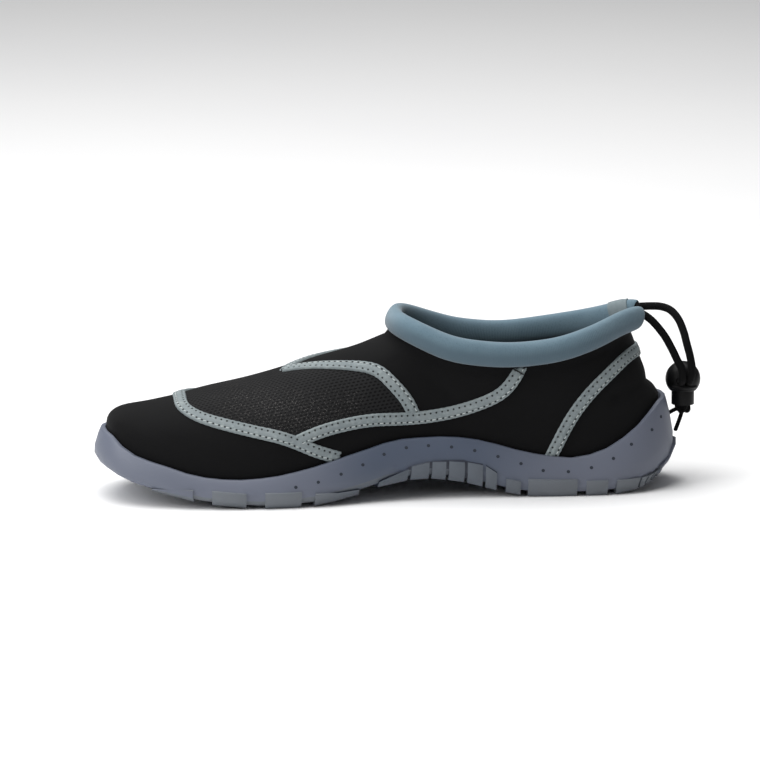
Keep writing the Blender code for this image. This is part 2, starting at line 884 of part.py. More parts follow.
def collar_frames():
    """Each section's centre, with its up and outward directions and its size."""
    stations = collar_stations()
    feet = [collar_spot(side, share) for side, share, _ in stations]
    frames = []
    for i, (side, share, size) in enumerate(stations):
        ahead = feet[min(i + 1, len(feet) - 1)] - feet[max(i - 1, 0)]
        along = Vector((ahead.x, ahead.y, ahead.z)).normalized()
        lean = SHAPES["collar"]["back"](share)
        out = along.cross(Vector((lean, 0, 1))).normalized()
        up = out.cross(along).normalized()
        wall = 0.0 if share > COLLAR_LEAVE else -UPPER_WALL / 2
        height = COLLAR_HEIGHT * SHAPES["collar"]["tall"](share)
        lift = CLEARANCE + SHAPES["collar"]["lift"](share)
        rise = NEAR_END_RISE if side == "inner" else FAR_END_RISE
        rise *= (1 - size) / (1 - COLLAR_END_SIZES[-1])
        centre = feet[i] + out * wall + up * (lift + height / 2 + rise)
        frames.append((centre, up, out, along, height / 2, size))
    return frames


def build_collar(finish):
    """A padded tube round the opening, with a hole in each end for the drawcord."""
    points = []
    faces = []
    sections = []
    for centre, up, out, _, half, size in collar_frames():
        section = []
        for i in range(COLLAR_SIDES):
            angle = 2 * math.pi * i / COLLAR_SIDES
            across = math.copysign(abs(math.cos(angle)) ** 0.85, math.cos(angle))
            tall = math.copysign(abs(math.sin(angle)) ** 0.85, math.sin(angle))
            reach = COLLAR_THICKNESS / 2 * across * size
            section.append(centre + out * reach + up * half * tall * size)
        sections.append(section)
    loft(points, faces, sections)
    obj = add("collar", points, faces, finish, 60)
    face_outwards(obj)
    frames = collar_frames()
    for name, frame, way in (("near bore", frames[0], -1), ("far bore", frames[-1], 1)):
        mouth = frame[0] + frame[3] * way * CORD_DIAMETER
        floor = frame[0] - frame[3] * way * CORD_BORE_DEPTH
        cut_by(obj, rod(name, floor, mouth, CORD_DIAMETER / 2 + CLEARANCE, finish))
    return obj


def rod(name, start, end, radius, finish, sides=12):
    """A round bar between two points."""
    along = (end - start).normalized()
    across = along.orthogonal().normalized()
    other = along.cross(across)
    sections = []
    for centre in (start, end):
        section = []
        for i in range(sides):
            angle = 2 * math.pi * i / sides
            spoke = across * math.cos(angle) + other * math.sin(angle)
            section.append(centre + spoke * radius)
        sections.append(section)
    points = []
    faces = []
    loft(points, faces, sections)
    obj = add(name, points, faces, finish)
    face_outwards(obj)
    return obj


def tube(name, route, radius, finish, resolution=2):
    """A round cord along a list of points, with filled ends."""
    data = bpy.data.curves.new(name, "CURVE")
    data.dimensions = "3D"
    data.bevel_depth = radius
    data.bevel_resolution = resolution
    data.use_fill_caps = True
    data.materials.append(finish)
    spline = data.splines.new("POLY")
    spline.points.add(len(route) - 1)
    for point, spot in zip(spline.points, route):
        point.co = (spot[0], spot[1], spot[2], 1.0)
    obj = bpy.data.objects.new(name, data)
    bpy.context.collection.objects.link(obj)
    return obj


def surface(turn, height):
    """The upper's outer face, carried on over the crest where the height passes 1."""
    if height > 1:
        return upper_point(2 - turn, 2 - height)
    return upper_point(turn, height)


def surface_frame(turn, height):
    """A point of the upper with its two tangents and its outward direction."""
    step = 0.004
    spot = surface(turn, height)
    round_way = (surface(turn + step, height) - surface(turn - step, height)) / (2 * step)
    low = max(height - step, 0.0)
    up_way = (surface(turn, height + step) - surface(turn, low)) / (height + step - low)
    out = round_way.cross(up_way).normalized()
    return spot, round_way, up_way, out


def moved(turn, height, push):
    """Where a small step over the surface ends, in turn and height."""
    _, round_way, up_way, _ = surface_frame(turn, height)
    a = round_way.dot(round_way)
    b = round_way.dot(up_way)
    c = up_way.dot(up_way)
    d = round_way.dot(push)
    e = up_way.dot(push)
    scale = a * c - b * b
    return turn + (c * d - b * e) / scale, height + (a * e - b * d) / scale


def tape_solid(name, rows, finish, grow=0.0, low=None, high=None):
    """A strip over the upper along a smooth line through a table of turns and heights."""
    low = TAPE_CLEARANCE if low is None else low
    high = TAPE_CLEARANCE + TAPE_THICKNESS if high is None else high
    knots = list(range(len(rows["turn"])))
    turn_at = monotone(knots, rows["turn"])
    height_at = monotone(knots, rows["height"])
    fine = [knots[-1] * i / 200 for i in range(201)]
    walked = [0.0]
    for a, b in zip(fine, fine[1:]):
        gap = surface(turn_at(b), height_at(b)) - surface(turn_at(a), height_at(a))
        walked.append(walked[-1] + gap.length)
    count = max(2, round(walked[-1] / TAPE_STEP))
    places = np.interp(np.linspace(0, walked[-1], count + 1), walked, fine)
    sections = []
    for place in places:
        turn = turn_at(place)
        height = height_at(place)
        after = min(place + 0.02, knots[-1])
        before = max(place - 0.02, 0)
        along = surface(turn_at(after), height_at(after))
        along = (along - surface(turn_at(before), height_at(before))).normalized()
        _, _, _, out = surface_frame(turn, height)
        across = out.cross(along).normalized()
        under = []
        over = []
        for share in (-1.0, 0.0, 1.0):
            push = across * share * (TAPE_WIDTH / 2 + grow)
            spot, _, _, normal = surface_frame(*moved(turn, height, push))
            under.append(spot + normal * low)
            over.append(spot + normal * high)
        sections.append(under + over[::-1])
    points = []
    faces = []
    loft(points, faces, sections)
    obj = add(name, points, faces, finish, 60)
    face_outwards(obj)
    return obj


def cut_by(obj, cutter):
    cutter.hide_render = True
    cutter.display_type = "WIRE"
    cut = obj.modifiers.new(cutter.name, "BOOLEAN")
    cut.operation = "DIFFERENCE"
    cut.solver = "EXACT"
    cut.object = cutter


def tape_cutter(name, rows, finish):
    """The room that a tape and its clearance take from the tapes that meet it."""
    return tape_solid(
        name, rows, finish, CLEARANCE, -TAPE_CLEARANCE, TAPE_CLEARANCE + 3 * TAPE_THICKNESS
    )


def over_crest(rows):
    """The same line on the outer side of the shoe."""
    return {"turn": rows["turn"], "height": [2 - h for h in rows["height"]]}


def crest_cutter(name, side, finish):
    """Everything past the crest line, so that two tapes can meet there."""
    sign = 1 if side == "inner" else -1
    route = [crest_point(CREST_START + (crest_end() - CREST_START) * i / 8) for i in range(9)]
    sections = []
    for spot in route:
        near = spot.y - sign * CLEARANCE / 2
        far = spot.y + sign * BALL_WIDTH / 2
        top = INSTEP_HEIGHT * 1.5
        sections.append([
            Vector((spot.x, near, 0)),
            Vector((spot.x, far, 0)),
            Vector((spot.x, far, top)),
            Vector((spot.x, near, top)),
        ])
    points = []
    faces = []
    loft(points, faces, sections)
    cutter = add(name, points, faces, finish)
    face_outwards(cutter)
    return cutter


def build_tapes(finish):
    """The stitched tapes that frame the mesh, cradle the midfoot and brace the heel."""
    both = {
        "turn": VAMP_TAPE["turn"] + VAMP_TAPE["turn"][-2::-1],
        "height": VAMP_TAPE["height"] + [2 - h for h in VAMP_TAPE["height"][-2::-1]],
    }
    tape_solid("vamp_tape", both, finish)
    heel = {
        "turn": HEEL_TAPE["turn"] + [2 - t for t in HEEL_TAPE["turn"][-2::-1]],
        "height": HEEL_TAPE["height"] + HEEL_TAPE["height"][-2::-1],
    }
    tape_solid("heel_tape", heel, finish)
    vamp_room = tape_cutter("vamp tape room", both, finish)
    for side, place in (("inner", "medial"), ("outer", "lateral")):
        side_rows = SIDE_TAPE if side == "inner" else over_crest(SIDE_TAPE)
        instep_rows = INSTEP_TAPE if side == "inner" else over_crest(INSTEP_TAPE)
        cradle = tape_solid(f"side_tape_{place}", side_rows, finish)
        cut_by(cradle, vamp_room)
        instep = tape_solid(f"instep_tape_{place}", instep_rows, finish)
        cut_by(instep, tape_cutter(f"side tape room {place}", side_rows, finish))
        cut_by(instep, crest_cutter(f"past crest {place}", side, finish))


def bore_frame(end):
    """The mouth of a collar end's cord hole and the way the cord leaves it."""
    frame = collar_frames()[0 if end == "near" else -1]
    way = -1 if end == "near" else 1
    return frame[0], frame[3] * way


def smooth_route(points, step):
    """Evenly spaced points on a smooth curve through a cord's own points."""
    spots = [Vector(p) for p in points]
    spots = [spots[0] * 2 - spots[1]] + spots + [spots[-1] * 2 - spots[-2]]
    fine = []
    for i in range(1, len(spots) - 2):
        a, b, c, d = spots[i - 1 : i + 3]
        for j in range(40):
            t = j / 40
            fine.append(
                (b * 2 + (c - a) * t + (a * 2 - b * 5 + c * 4 - d) * t**2
                 + (b * 3 - a - c * 3 + d) * t**3) / 2
            )
    fine.append(spots[-2])
    walked = [0.0]
    for a, b in zip(fine, fine[1:]):
        walked.append(walked[-1] + (b - a).length)
    count = max(2, round(walked[-1] / step))
    places = np.linspace(0, walked[-1], count + 1)
    return [
        Vector([float(np.interp(p, walked, [f[k] for f in fine])) for k in range(3)])
        for p in places
    ]


def knot_centre():
    """The knot hangs straight below where the cord has turned down behind the lock."""
    x, y, z = LOCK_CENTRE
    return Vector((x + CORD_DRIFT, y + LOCK_DIAMETER / 2 + CORD_BEND, z - KNOT_DROP))


def behind_heel(rows):
    """Places charted from the back of the heel."""
    return [Vector((LENGTH / 2 + x, y, z)) for x, y, z in rows]


def strand_route(end):
    """One run of the drawcord: out of the collar, down to the lock, through it to the knot."""
    mouth, way = bore_frame(end)
    start = mouth - way * (CORD_BORE_DEPTH - CLEARANCE)
    straight = [start, start + (mouth - start) / 2, mouth, mouth + way * CLEARANCE * 4]
    free = behind_heel(NEAR_STRAND if end == "near" else FAR_STRAND)
    shift = -CORD_SPACING / 2 if end == "near" else CORD_SPACING / 2
    lock = Vector(LOCK_CENTRE) + Vector((shift, 0, 0))
    exit_y = LOCK_DIAMETER / 2
    turn_y = exit_y + CORD_BEND
    half_y = exit_y + CORD_BEND * math.sqrt(0.5)
    half_z = CORD_BEND * (1 - math.sqrt(0.5))
    through = [
        lock + Vector((shift * 0.2, -turn_y, CORD_BEND)),
        lock + Vector((0, -half_y, half_z)),
        lock + Vector((0, -exit_y, 0)),
        lock,
        lock + Vector((0, exit_y, 0)),
        lock + Vector((CORD_DRIFT * 0.6, half_y, -half_z)),
        lock + Vector((CORD_DRIFT, turn_y, -CORD_BEND)),
    ]
    last = lock + Vector((CORD_DRIFT, turn_y, 0))
    last.z = knot_centre().z + KNOT_HEIGHT / 2 + CLEARANCE
    return straight + free + through + [last]


def turned(name, profile, centre, finish, sides=20):
    """A round body about an upright axis, from the bottom of its profile to the top."""
    points = []
    faces = []
    sections = []
    for radius, height in profile:
        section = []
        for i in range(sides):
            angle = 2 * math.pi * i / sides
            across = Vector((radius * math.cos(angle), radius * math.sin(angle), height))
            section.append(Vector(centre) + across)
        sections.append(section)
    loft(points, faces, sections)
    obj = add(name, points, faces, finish, 40)
    face_outwards(obj)
    return obj


def slot_cutter(name, centre, width, low, high, finish):
    """A long hole along Y with round ends, for the two runs of cord side by side."""
    half = (high - low) / 2
    round_radius = min(half, CORD_DIAMETER / 2 + CLEARANCE)
    section = []
    for i in range(16):
        angle = 2 * math.pi * (i + 0.5) / 16
        x = math.copysign(width / 2 - round_radius, math.cos(angle))
        z = math.copysign(half - round_radius, math.sin(angle))
        section.append((
            x + round_radius * math.cos(angle),
            z + round_radius * math.sin(angle) + (high + low) / 2,
        ))
    sections = []
    for y in (-LOCK_DIAMETER, LOCK_DIAMETER):
        sections.append([Vector(centre) + Vector((x, y, z)) for x, z in section])
    points = []
    faces = []
    loft(points, faces, sections)
    obj = add(name, points, faces, finish)
    face_outwards(obj)
    return obj


def build_lock(finish):
    """A ball with a sprung button: the cord runs through both, and pressing lines them up."""
    radius = LOCK_DIAMETER / 2
    profile = []
    for i in range(LOCK_RINGS + 1):
        low = -math.asin(LOCK_CUT / radius)
        angle = low + (math.pi / 2 * 0.97 - low) * i / LOCK_RINGS
        profile.append((radius * math.cos(angle), radius * math.sin(angle)))
    ball = turned("lock_body", profile, LOCK_CENTRE, finish)
    button_radius = BUTTON_DIAMETER / 2
    bore_radius = button_radius + CLEARANCE
    cord_half = CORD_DIAMETER / 2 + CLEARANCE
    cap = cord_half + BUTTON_BRIDGE
    top = cap + BUTTON_TRAVEL + CLEARANCE
    shoulder = top - BUTTON_CHAMFER
    bore = turned(
        "button bore",
        [
            (bore_radius, -radius),
            (bore_radius, shoulder),
            (bore_radius - BUTTON_CHAMFER / 2, top),
        ],
        LOCK_CENTRE,
        finish,
    )
    cut_by(ball, bore)
    width = CORD_SPACING + CORD_DIAMETER + 2 * CLEARANCE
    cut_by(ball, slot_cutter("cord hole", LOCK_CENTRE, width, -cord_half, cord_half, finish))
    button = turned(
        "lock_button",
        [
            (button_radius - BUTTON_ROUND, -LOCK_CUT - BUTTON_STANDS),
            (button_radius, -LOCK_CUT - BUTTON_STANDS + BUTTON_ROUND),
            (button_radius, cap - BUTTON_CHAMFER),
            (button_radius - BUTTON_CHAMFER / 2, cap),
        ],
        LOCK_CENTRE,
        finish,
    )
    low = -cord_half - BUTTON_TRAVEL
    cut_by(button, slot_cutter("button slot", LOCK_CENTRE, width, low, cord_half, finish))


def build_cords(finish):
    """The two runs of cord, their knot under the lock and the two thin tails."""
    for end in ("near", "far"):
        route = smooth_route(strand_route(end), CORD_DIAMETER * CORD_STEP)
        tube(f"cord_{end}", route, CORD_DIAMETER / 2, finish)
    profile = []
    for i in range(KNOT_RINGS + 1):
        angle = math.pi * 0.9 * (i / KNOT_RINGS - 0.5)
        profile.append((
            KNOT_WIDTH / 2 * math.cos(angle),
            KNOT_HEIGHT / 2 * math.sin(angle),
        ))
    knot = knot_centre()
    turned("cord_knot", profile, knot, finish, 12)
    for name, rows in (("cord_tail_near", NEAR_TAIL), ("cord_tail_far", FAR_TAIL)):
        route = behind_heel(rows)
        out = (route[0] - knot).normalized()
        across = math.hypot(out.x, out.y) / (KNOT_WIDTH / 2)
        skin = 1 / math.hypot(across, out.z / (KNOT_HEIGHT / 2))
        start = knot + out * (skin + CLEARANCE)
        tube(name, smooth_route([start] + route, TAIL_DIAMETER), TAIL_DIAMETER / 2, finish)


def build_label(finish):
    """A bare patch on the inside of the collar's outer end."""
    frames = [f for f in collar_frames() if f[5] == 1.0][LABEL_FIRST:]
    sections = []
    for centre, up, out, _, half, _ in frames:
        under = []
        over = []
        for degrees in (140, 160, 180, 200):
            angle = math.radians(degrees)
            across = math.copysign(abs(math.cos(angle)) ** 0.85, math.cos(angle))
            tall = math.copysign(abs(math.sin(angle)) ** 0.85, math.sin(angle))
            foot = centre + out * COLLAR_THICKNESS / 2 * across + up * half * tall
            away = (out * math.cos(angle) + up * math.sin(angle)).normalized()
            under.append(foot + away * TAPE_CLEARANCE)
            over.append(foot + away * (TAPE_CLEARANCE + LABEL_THICKNESS))
        sections.append(under + over[::-1])
    points = []
    faces = []
    loft(points, faces, sections)
    face_outwards(add("heel_label", points, faces, finish))


def main():
    clear_scene()
    rubber = material("sole rubber", (0.19, 0.21, 0.28), 0.55)
    cloth = material("black neoprene", (0.012, 0.012, 0.013), 0.8)
    foam = material("insole cloth", (0.02, 0.02, 0.022), 0.9)
    build_outsole(rubber)
    build_insole(foam)
    build_upper(cloth)
    knit = material("collar knit", (0.19, 0.37, 0.46), 0.85)
    webbing = material("grey tape", (0.30, 0.36, 0.37), 0.7)
    build_collar(knit)
    build_tapes(webbing)
    build_label(webbing)
    plastic = material("black plastic", (0.02, 0.02, 0.022), 0.4)
    cord = material("black cord", (0.012, 0.012, 0.013), 0.75)
    build_lock(plastic)
    build_cords(cord)


main()
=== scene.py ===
# %% [markdown]
# # A slip-on water shoe
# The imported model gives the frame: every size and place comes from it. This script dresses it:
# the soft upper and collar become smooth cloth, the tapes get their stitches, the sole gets its
# rubber, and the drawcord its braid. Lengths are in metres, +X runs from toe to heel, -Y is the
# inner side of the foot and +Z is up.

# %% Load the frame
import math

import bpy
import numpy as np
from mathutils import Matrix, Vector
from mathutils.bvhtree import BVHTree


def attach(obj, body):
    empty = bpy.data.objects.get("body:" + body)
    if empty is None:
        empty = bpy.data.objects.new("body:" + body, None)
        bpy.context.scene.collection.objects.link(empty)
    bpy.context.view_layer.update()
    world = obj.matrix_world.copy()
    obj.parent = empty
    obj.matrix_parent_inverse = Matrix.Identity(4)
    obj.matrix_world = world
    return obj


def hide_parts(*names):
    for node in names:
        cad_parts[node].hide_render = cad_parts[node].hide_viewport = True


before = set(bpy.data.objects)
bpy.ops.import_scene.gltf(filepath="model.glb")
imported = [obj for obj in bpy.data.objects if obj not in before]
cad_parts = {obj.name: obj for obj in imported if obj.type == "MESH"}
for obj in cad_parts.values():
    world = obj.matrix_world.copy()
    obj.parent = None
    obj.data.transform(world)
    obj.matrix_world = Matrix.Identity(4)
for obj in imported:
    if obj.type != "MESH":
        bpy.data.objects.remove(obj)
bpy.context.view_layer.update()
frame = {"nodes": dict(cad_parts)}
nodes = frame["nodes"]
print("nodes:", sorted(nodes))

# %% [markdown]
# ## Camera, floor and light
# The photo was taken from the shoe's inner side, a little from the front and 12 degrees from
# above, through a long lens. The long lens keeps upright edges parallel, as the photo does. A pale
# floor and large soft lights give the even light of a product picture, and leave a faint shadow.

# %% Camera
PHOTO_SIDE = 760
PIXELS_PER_METRE = 2063.6
ORIGIN_PIXEL = (384.3, 484.6)
TURN = math.radians(5)
DROP = math.radians(12)
LENS = 400
SENSOR = 36

right = Vector((math.cos(TURN), -math.sin(TURN), 0))
forward = Vector((
    math.sin(TURN) * math.cos(DROP),
    math.cos(TURN) * math.cos(DROP),
    -math.sin(DROP),
))
up = right.cross(forward)
aim = right * ((PHOTO_SIDE / 2 - ORIGIN_PIXEL[0]) / PIXELS_PER_METRE)
aim += up * ((ORIGIN_PIXEL[1] - PHOTO_SIDE / 2) / PIXELS_PER_METRE)
away = LENS / SENSOR * PHOTO_SIDE / PIXELS_PER_METRE
camera = bpy.data.objects.new("camera", bpy.data.cameras.new("camera"))
camera.data.lens = LENS
camera.data.clip_end = 50
camera.location = aim - forward * away
camera.rotation_mode = "QUATERNION"
camera.rotation_quaternion = forward.to_track_quat("-Z", "Y")
bpy.context.collection.objects.link(camera)
bpy.context.scene.camera = camera
print("camera stands", round(away, 2), "m away")


# %% Helpers that select, finish and build
def deselect():
    bpy.ops.object.select_all(action="DESELECT")


def activate(obj):
    deselect()
    obj.select_set(True)
    bpy.context.view_layer.objects.active = obj


def finish_modifiers(obj):
    activate(obj)
    for modifier in list(obj.modifiers):
        bpy.ops.object.modifier_apply(modifier=modifier.name)


def triangles(obj):
    return sum(len(face.vertices) - 2 for face in obj.data.polygons)


def fresh(add, dimensions=None, **options):
    """A new primitive, with its place and size written into its mesh."""
    deselect()
    add(**options)
    obj = bpy.context.object
    if dimensions:
        obj.dimensions = dimensions
    bpy.ops.object.transform_apply(location=True, rotation=True, scale=True)
    return obj


def edit_all(obj, step, **options):
    """Runs one edit step on a whole mesh."""
    activate(obj)
    bpy.ops.object.mode_set(mode="EDIT")
    bpy.ops.mesh.select_all(action="SELECT")
    step(**options)
    bpy.ops.object.mode_set(mode="OBJECT")


def soften(obj, width, segments, edge_angle, smooth_angle):
    """Small bevels on the hard edges, and smooth shading over the soft ones."""
    bevel = obj.modifiers.new("soft edges", "BEVEL")
    bevel.width = width
    bevel.segments = segments
    bevel.limit_method = "ANGLE"
    bevel.angle_limit = math.radians(edge_angle)
    finish_modifiers(obj)
    bpy.ops.object.shade_smooth_by_angle(angle=math.radians(smooth_angle))


def built(name, verts, faces, maps=()):
    """A mesh object from points and faces, with its own map where each corner has a place."""
    mesh = bpy.data.meshes.new(name)
    mesh.from_pydata([tuple(v) for v in verts], [], faces)
    if maps:
        layer = mesh.uv_layers.new(name="metres")
        for corner, place in zip(layer.data, maps):
            corner.uv = place
    obj = bpy.data.objects.new(name, mesh)
    bpy.context.collection.objects.link(obj)
    return obj


def tube_faces(rows, ring):
    """Quads between closed rings of points, then a cap on the first ring and on the last."""
    faces = []
    for a in range(0, (rows - 1) * ring, ring):
        for j in range(ring):
            k = (j + 1) % ring
            faces.append((a + j, a + k, a + ring + k, a + ring + j))
    faces.append(tuple(reversed(range(ring))))
    faces.append(tuple((rows - 1) * ring + j for j in range(ring)))
    return faces


def add_copy(verts, polys, points, faces):
    """Adds one more copy of a small shape to a growing mesh."""
    polys += [tuple(len(verts) + k for k in face) for face in faces]
    verts += points


def circle(count):
    """The cosine and sine at even steps round a circle."""
    turns = [2 * math.pi * k / count for k in range(count)]
    return [(math.cos(turn), math.sin(turn)) for turn in turns]


def wear(obj, *materials):
    """Gives a piece its materials, in the order of its faces' numbers."""
    for material in materials:
        obj.data.materials.append(material)
    print(obj.name, "wears", ", ".join(material.name for material in materials))


def rows_of(vectors):
    return np.array([tuple(v) for v in vectors])


def move_points(obj, places):
    obj.data.vertices.foreach_set("co", places.ravel())
    obj.data.update()


# %% Floor and lights
floor = fresh(bpy.ops.mesh.primitive_plane_add, size=24, location=(0, 4, 0))
floor.name = "floor"


WORLD_LIGHT = 0.12


def soft_light(name, place, size, power, aim_at=(0, 0, 0.04)):
    lamp = bpy.data.lights.new(name, "AREA")
    lamp.shape = "RECTANGLE"
    lamp.size, lamp.size_y = size
    lamp.energy = power
    obj = bpy.data.objects.new(name, lamp)
    obj.location = place
    obj.rotation_mode = "QUATERNION"
    obj.rotation_quaternion = (Vector(aim_at) - Vector(place)).to_track_quat("-Z", "Y")
    bpy.context.collection.objects.link(obj)
    return obj


soft_light("top light", (-0.25, 0.15, 1.3), (1.8, 1.4), 30)
soft_light("toe light", (-1.1, -0.55, 0.7), (0.8, 0.8), 8)
soft_light("front fill", (0.2, -1.5, 0.9), (1.2, 0.8), 1.0)
world = bpy.data.worlds.new("studio")
world.use_nodes = True
world.node_tree.nodes["Background"].inputs["Color"].default_value = (1, 1, 1, 1)
world.node_tree.nodes["Background"].inputs["Strength"].default_value = WORLD_LIGHT
bpy.context.scene.world = world
bpy.context.scene.view_settings.view_transform = "Standard"
print("lights:", sorted(lamp.name for lamp in bpy.data.lights))

# %% [markdown]
# ## Shared finishes
# Two effects turn up on almost every surface: a slow drift between two shades, and a fine grain
# that roughens the surface. Each is a node group, built once and placed in a material with its
# own numbers. They read object coordinates, so they stay put when a piece moves.


# %% Small shader helpers
def feed(tree, value, socket):
    """Gives a socket a number, a colour or another node's output."""
    if isinstance(value, (int, float, tuple)):
        socket.default_value = value
    else:
        tree.links.new(value, socket)


def node_with(tree, kind, **inputs):
    """A node of a kind, with its named inputs fed."""
    node = tree.nodes.new("ShaderNode" + kind)
    for label, value in inputs.items():
        feed(tree, value, node.inputs[label.replace("_", " ")])
    return node


def math_node(tree, operation, *values):
    """A Math node that takes numbers or other nodes' outputs."""
    node = tree.nodes.new("ShaderNodeMath")
    node.operation = operation
    for socket, value in zip(node.inputs, values):
        feed(tree, value, socket)
    return node.outputs["Value"]


def times(tree, first, *others):
    """Values multiplied one after the other."""
    for other in others:
        first = math_node(tree, "MULTIPLY", first, other)
    return first


def opposite(tree, mask):
    """1 where the mask is 0, and 0 where it is 1."""
    return math_node(tree, "SUBTRACT", 1.0, mask)


def length_of(tree, first, second):
    """How long a step is whose two parts at right angles are given."""
    squares = [math_node(tree, "POWER", part, 2.0) for part in (first, second)]
    return math_node(tree, "SQRT", math_node(tree, "ADD", *squares))


def wave_of(tree, value, pitch):
    """A sine wave along a value, from -1 to 1."""
    return math_node(tree, "SINE", times(tree, value, 2 * math.pi / pitch))


def fade(tree, value, start, end):
    """0 before start and 1 after end, smooth between them."""
    node = node_with(tree, "MapRange", Value=value, From_Min=start, From_Max=end)
    node.interpolation_type = "SMOOTHSTEP"
    return node.outputs["Result"]


def mixed(tree, mask, first, second):
    """first where the mask is 0 and second where it is 1."""
    node = tree.nodes.new("ShaderNodeMix")
    node.data_type = "RGBA"
    for label, value in (("Factor", mask), ("A", first), ("B", second)):
        feed(tree, value, node.inputs[label])
    return node.outputs["Result"]


def bumped(tree, height, depth, under):
    """A normal raised by height, on top of another normal."""
    node = node_with(tree, "Bump", Height=height, Distance=depth, Strength=1.0, Normal=under)
    return node.outputs["Normal"]


def noise_in(tree, scale, detail=2.0):
    """Noise in object coordinates."""
    place = tree.nodes.new("ShaderNodeTexCoord").outputs["Object"]
    return node_with(tree, "TexNoise", Vector=place, Scale=scale, Detail=detail).outputs["Fac"]


def object_axes(tree):
    """The object coordinates X, Y and Z."""
    place = tree.nodes.new("ShaderNodeTexCoord").outputs["Object"]
    split = node_with(tree, "SeparateXYZ", Vector=place)
    return [split.outputs[axis] for axis in "XYZ"]


def metres_along(tree):
    """The piece's own map, in metres along it and across it."""
    node = tree.nodes.new("ShaderNodeUVMap")
    node.uv_map = "metres"
    split = node_with(tree, "SeparateXYZ", Vector=node.outputs["UV"])
    return split.outputs["X"], split.outputs["Y"]


# %% Node groups
def new_group(name, inputs, outputs):
    tree = bpy.data.node_groups.new(name, "ShaderNodeTree")
    for label, kind, value in inputs:
        socket = tree.interface.new_socket(label, in_out="INPUT", socket_type=kind)
        socket.default_value = value
    for label, kind in outputs:
        tree.interface.new_socket(label, in_out="OUTPUT", socket_type=kind)
    return tree, tree.nodes.new("NodeGroupInput"), tree.nodes.new("NodeGroupOutput")


FLOAT, COLOUR, VECTOR = "NodeSocketFloat", "NodeSocketColor", "NodeSocketVector"

drift, given, result = new_group(
    "drift between two shades",
    [
        ("Shade", COLOUR, (0.5, 0.5, 0.5, 1)),
        ("Other shade", COLOUR, (0.4, 0.4, 0.4, 1)),
        ("Scale", FLOAT, 40.0),
        ("Reach", FLOAT, 0.5),
    ],
    [("Colour", COLOUR), ("Mask", FLOAT)],
)
cloud = noise_in(drift, given.outputs["Scale"], 4.0)
spread = node_with(
    drift,
    "MapRange",
    Value=cloud,
    From_Min=0.35,
    From_Max=0.65,
    To_Max=given.outputs["Reach"],
).outputs["Result"]
blend = mixed(drift, spread, given.outputs["Shade"], given.outputs["Other shade"])
drift.links.new(blend, result.inputs["Colour"])
drift.links.new(spread, result.inputs["Mask"])

grain, given, result = new_group(
    "fine grain",
    [("Scale", FLOAT, 900.0), ("Depth", FLOAT, 0.0002), ("Strength", FLOAT, 0.5)],
    [("Normal", VECTOR), ("Mask", FLOAT)],
)
cloud = noise_in(grain, given.outputs["Scale"], 3.0)
bump = node_with(
    grain,
    "Bump",
    Height=cloud,
    Distance=given.outputs["Depth"],
    Strength=given.outputs["Strength"],
)
grain.links.new(bump.outputs["Normal"], result.inputs["Normal"])
grain.links.new(cloud, result.inputs["Mask"])
print("node groups:", [group.name for group in bpy.data.node_groups])


# %% A material from the shared effects
def srgb(red, green, blue):
    """A colour read off a screen, from 0 to 255, as the linear values that Blender takes."""
    linear = []
    for value in (red, green, blue):
        value /= 255
        linear.append(value / 12.92 if value < 0.04045 else ((value + 0.055) / 1.055) ** 2.4)
    return (*linear, 1.0)


def add_group(tree, group, **values):
    node = tree.nodes.new("ShaderNodeGroup")
    node.node_tree = group
    for label, value in values.items():
        node.inputs[label.replace("_", " ")].default_value = value
    return node


DRIFT_REACH = 0.5


def new_material(name, shade, other, drift_scale, roughness, grain_scale, depth, **looks):
    """A Principled material whose colour drifts and whose surface has a fine grain."""
    made = bpy.data.materials.new(name)
    made.use_nodes = True
    tree = made.node_tree
    shader = tree.nodes["Principled BSDF"]
    for label, value in (("Roughness", roughness), *looks.items()):
        shader.inputs[label.replace("_", " ")].default_value = value
    colour = add_group(
        tree, drift, Shade=shade, Other_shade=other, Scale=drift_scale, Reach=DRIFT_REACH
    ).outputs["Colour"]
    surface = add_group(tree, grain, Scale=grain_scale, Depth=depth).outputs["Normal"]
    cover(tree, shader, colour, surface)
    return made, tree, shader, colour, surface


def cover(tree, shader, colour, surface=None):
    """Gives the shader its colour and, where one is given, its surface normal."""
    tree.links.new(colour, shader.inputs["Base Color"])
    if surface is not None:
        tree.links.new(surface, shader.inputs["Normal"])


wear(floor, new_material(
    "pale floor", srgb(250, 250, 250), srgb(246, 246, 247), 3, 0.9, 200, 0.0001
)[0])

# %% [markdown]
# ## Smooth skins from the CAD solids
# The frame's solids have the true form but flat facets. A copy has its loose triangles merged and
# paired back into quads, and a subdivision surface then rounds it. The alternative, sculpting the
# form anew, would drift away from the frame.


# %% Copy a node as a soft skin
SAME_POINT = 0.00002
CURVE_STEPS = 40


def subdivide(obj, levels):
    smooth = obj.modifiers.new("smooth", "SUBSURF")
    smooth.levels = levels
    smooth.render_levels = levels
    finish_modifiers(obj)


def skin_of(node, name, levels=2, pair=True):
    source = nodes[node]
    obj = bpy.data.objects.new(name, source.data.copy())
    obj.data.name = name
    obj.data.materials.clear()
    bpy.context.collection.objects.link(obj)
    activate(obj)
    bpy.ops.mesh.customdata_custom_splitnormals_clear()
    edit_all(obj, bpy.ops.mesh.remove_doubles, threshold=SAME_POINT)
    if pair:
        edit_all(
            obj,
            bpy.ops.mesh.tris_convert_to_quads,
            face_threshold=math.radians(50),
            shape_threshold=math.radians(70),
        )
    if levels:
        subdivide(obj, levels)
    obj.data.shade_smooth()
    print(name, "has", triangles(obj), "triangles")
    return obj


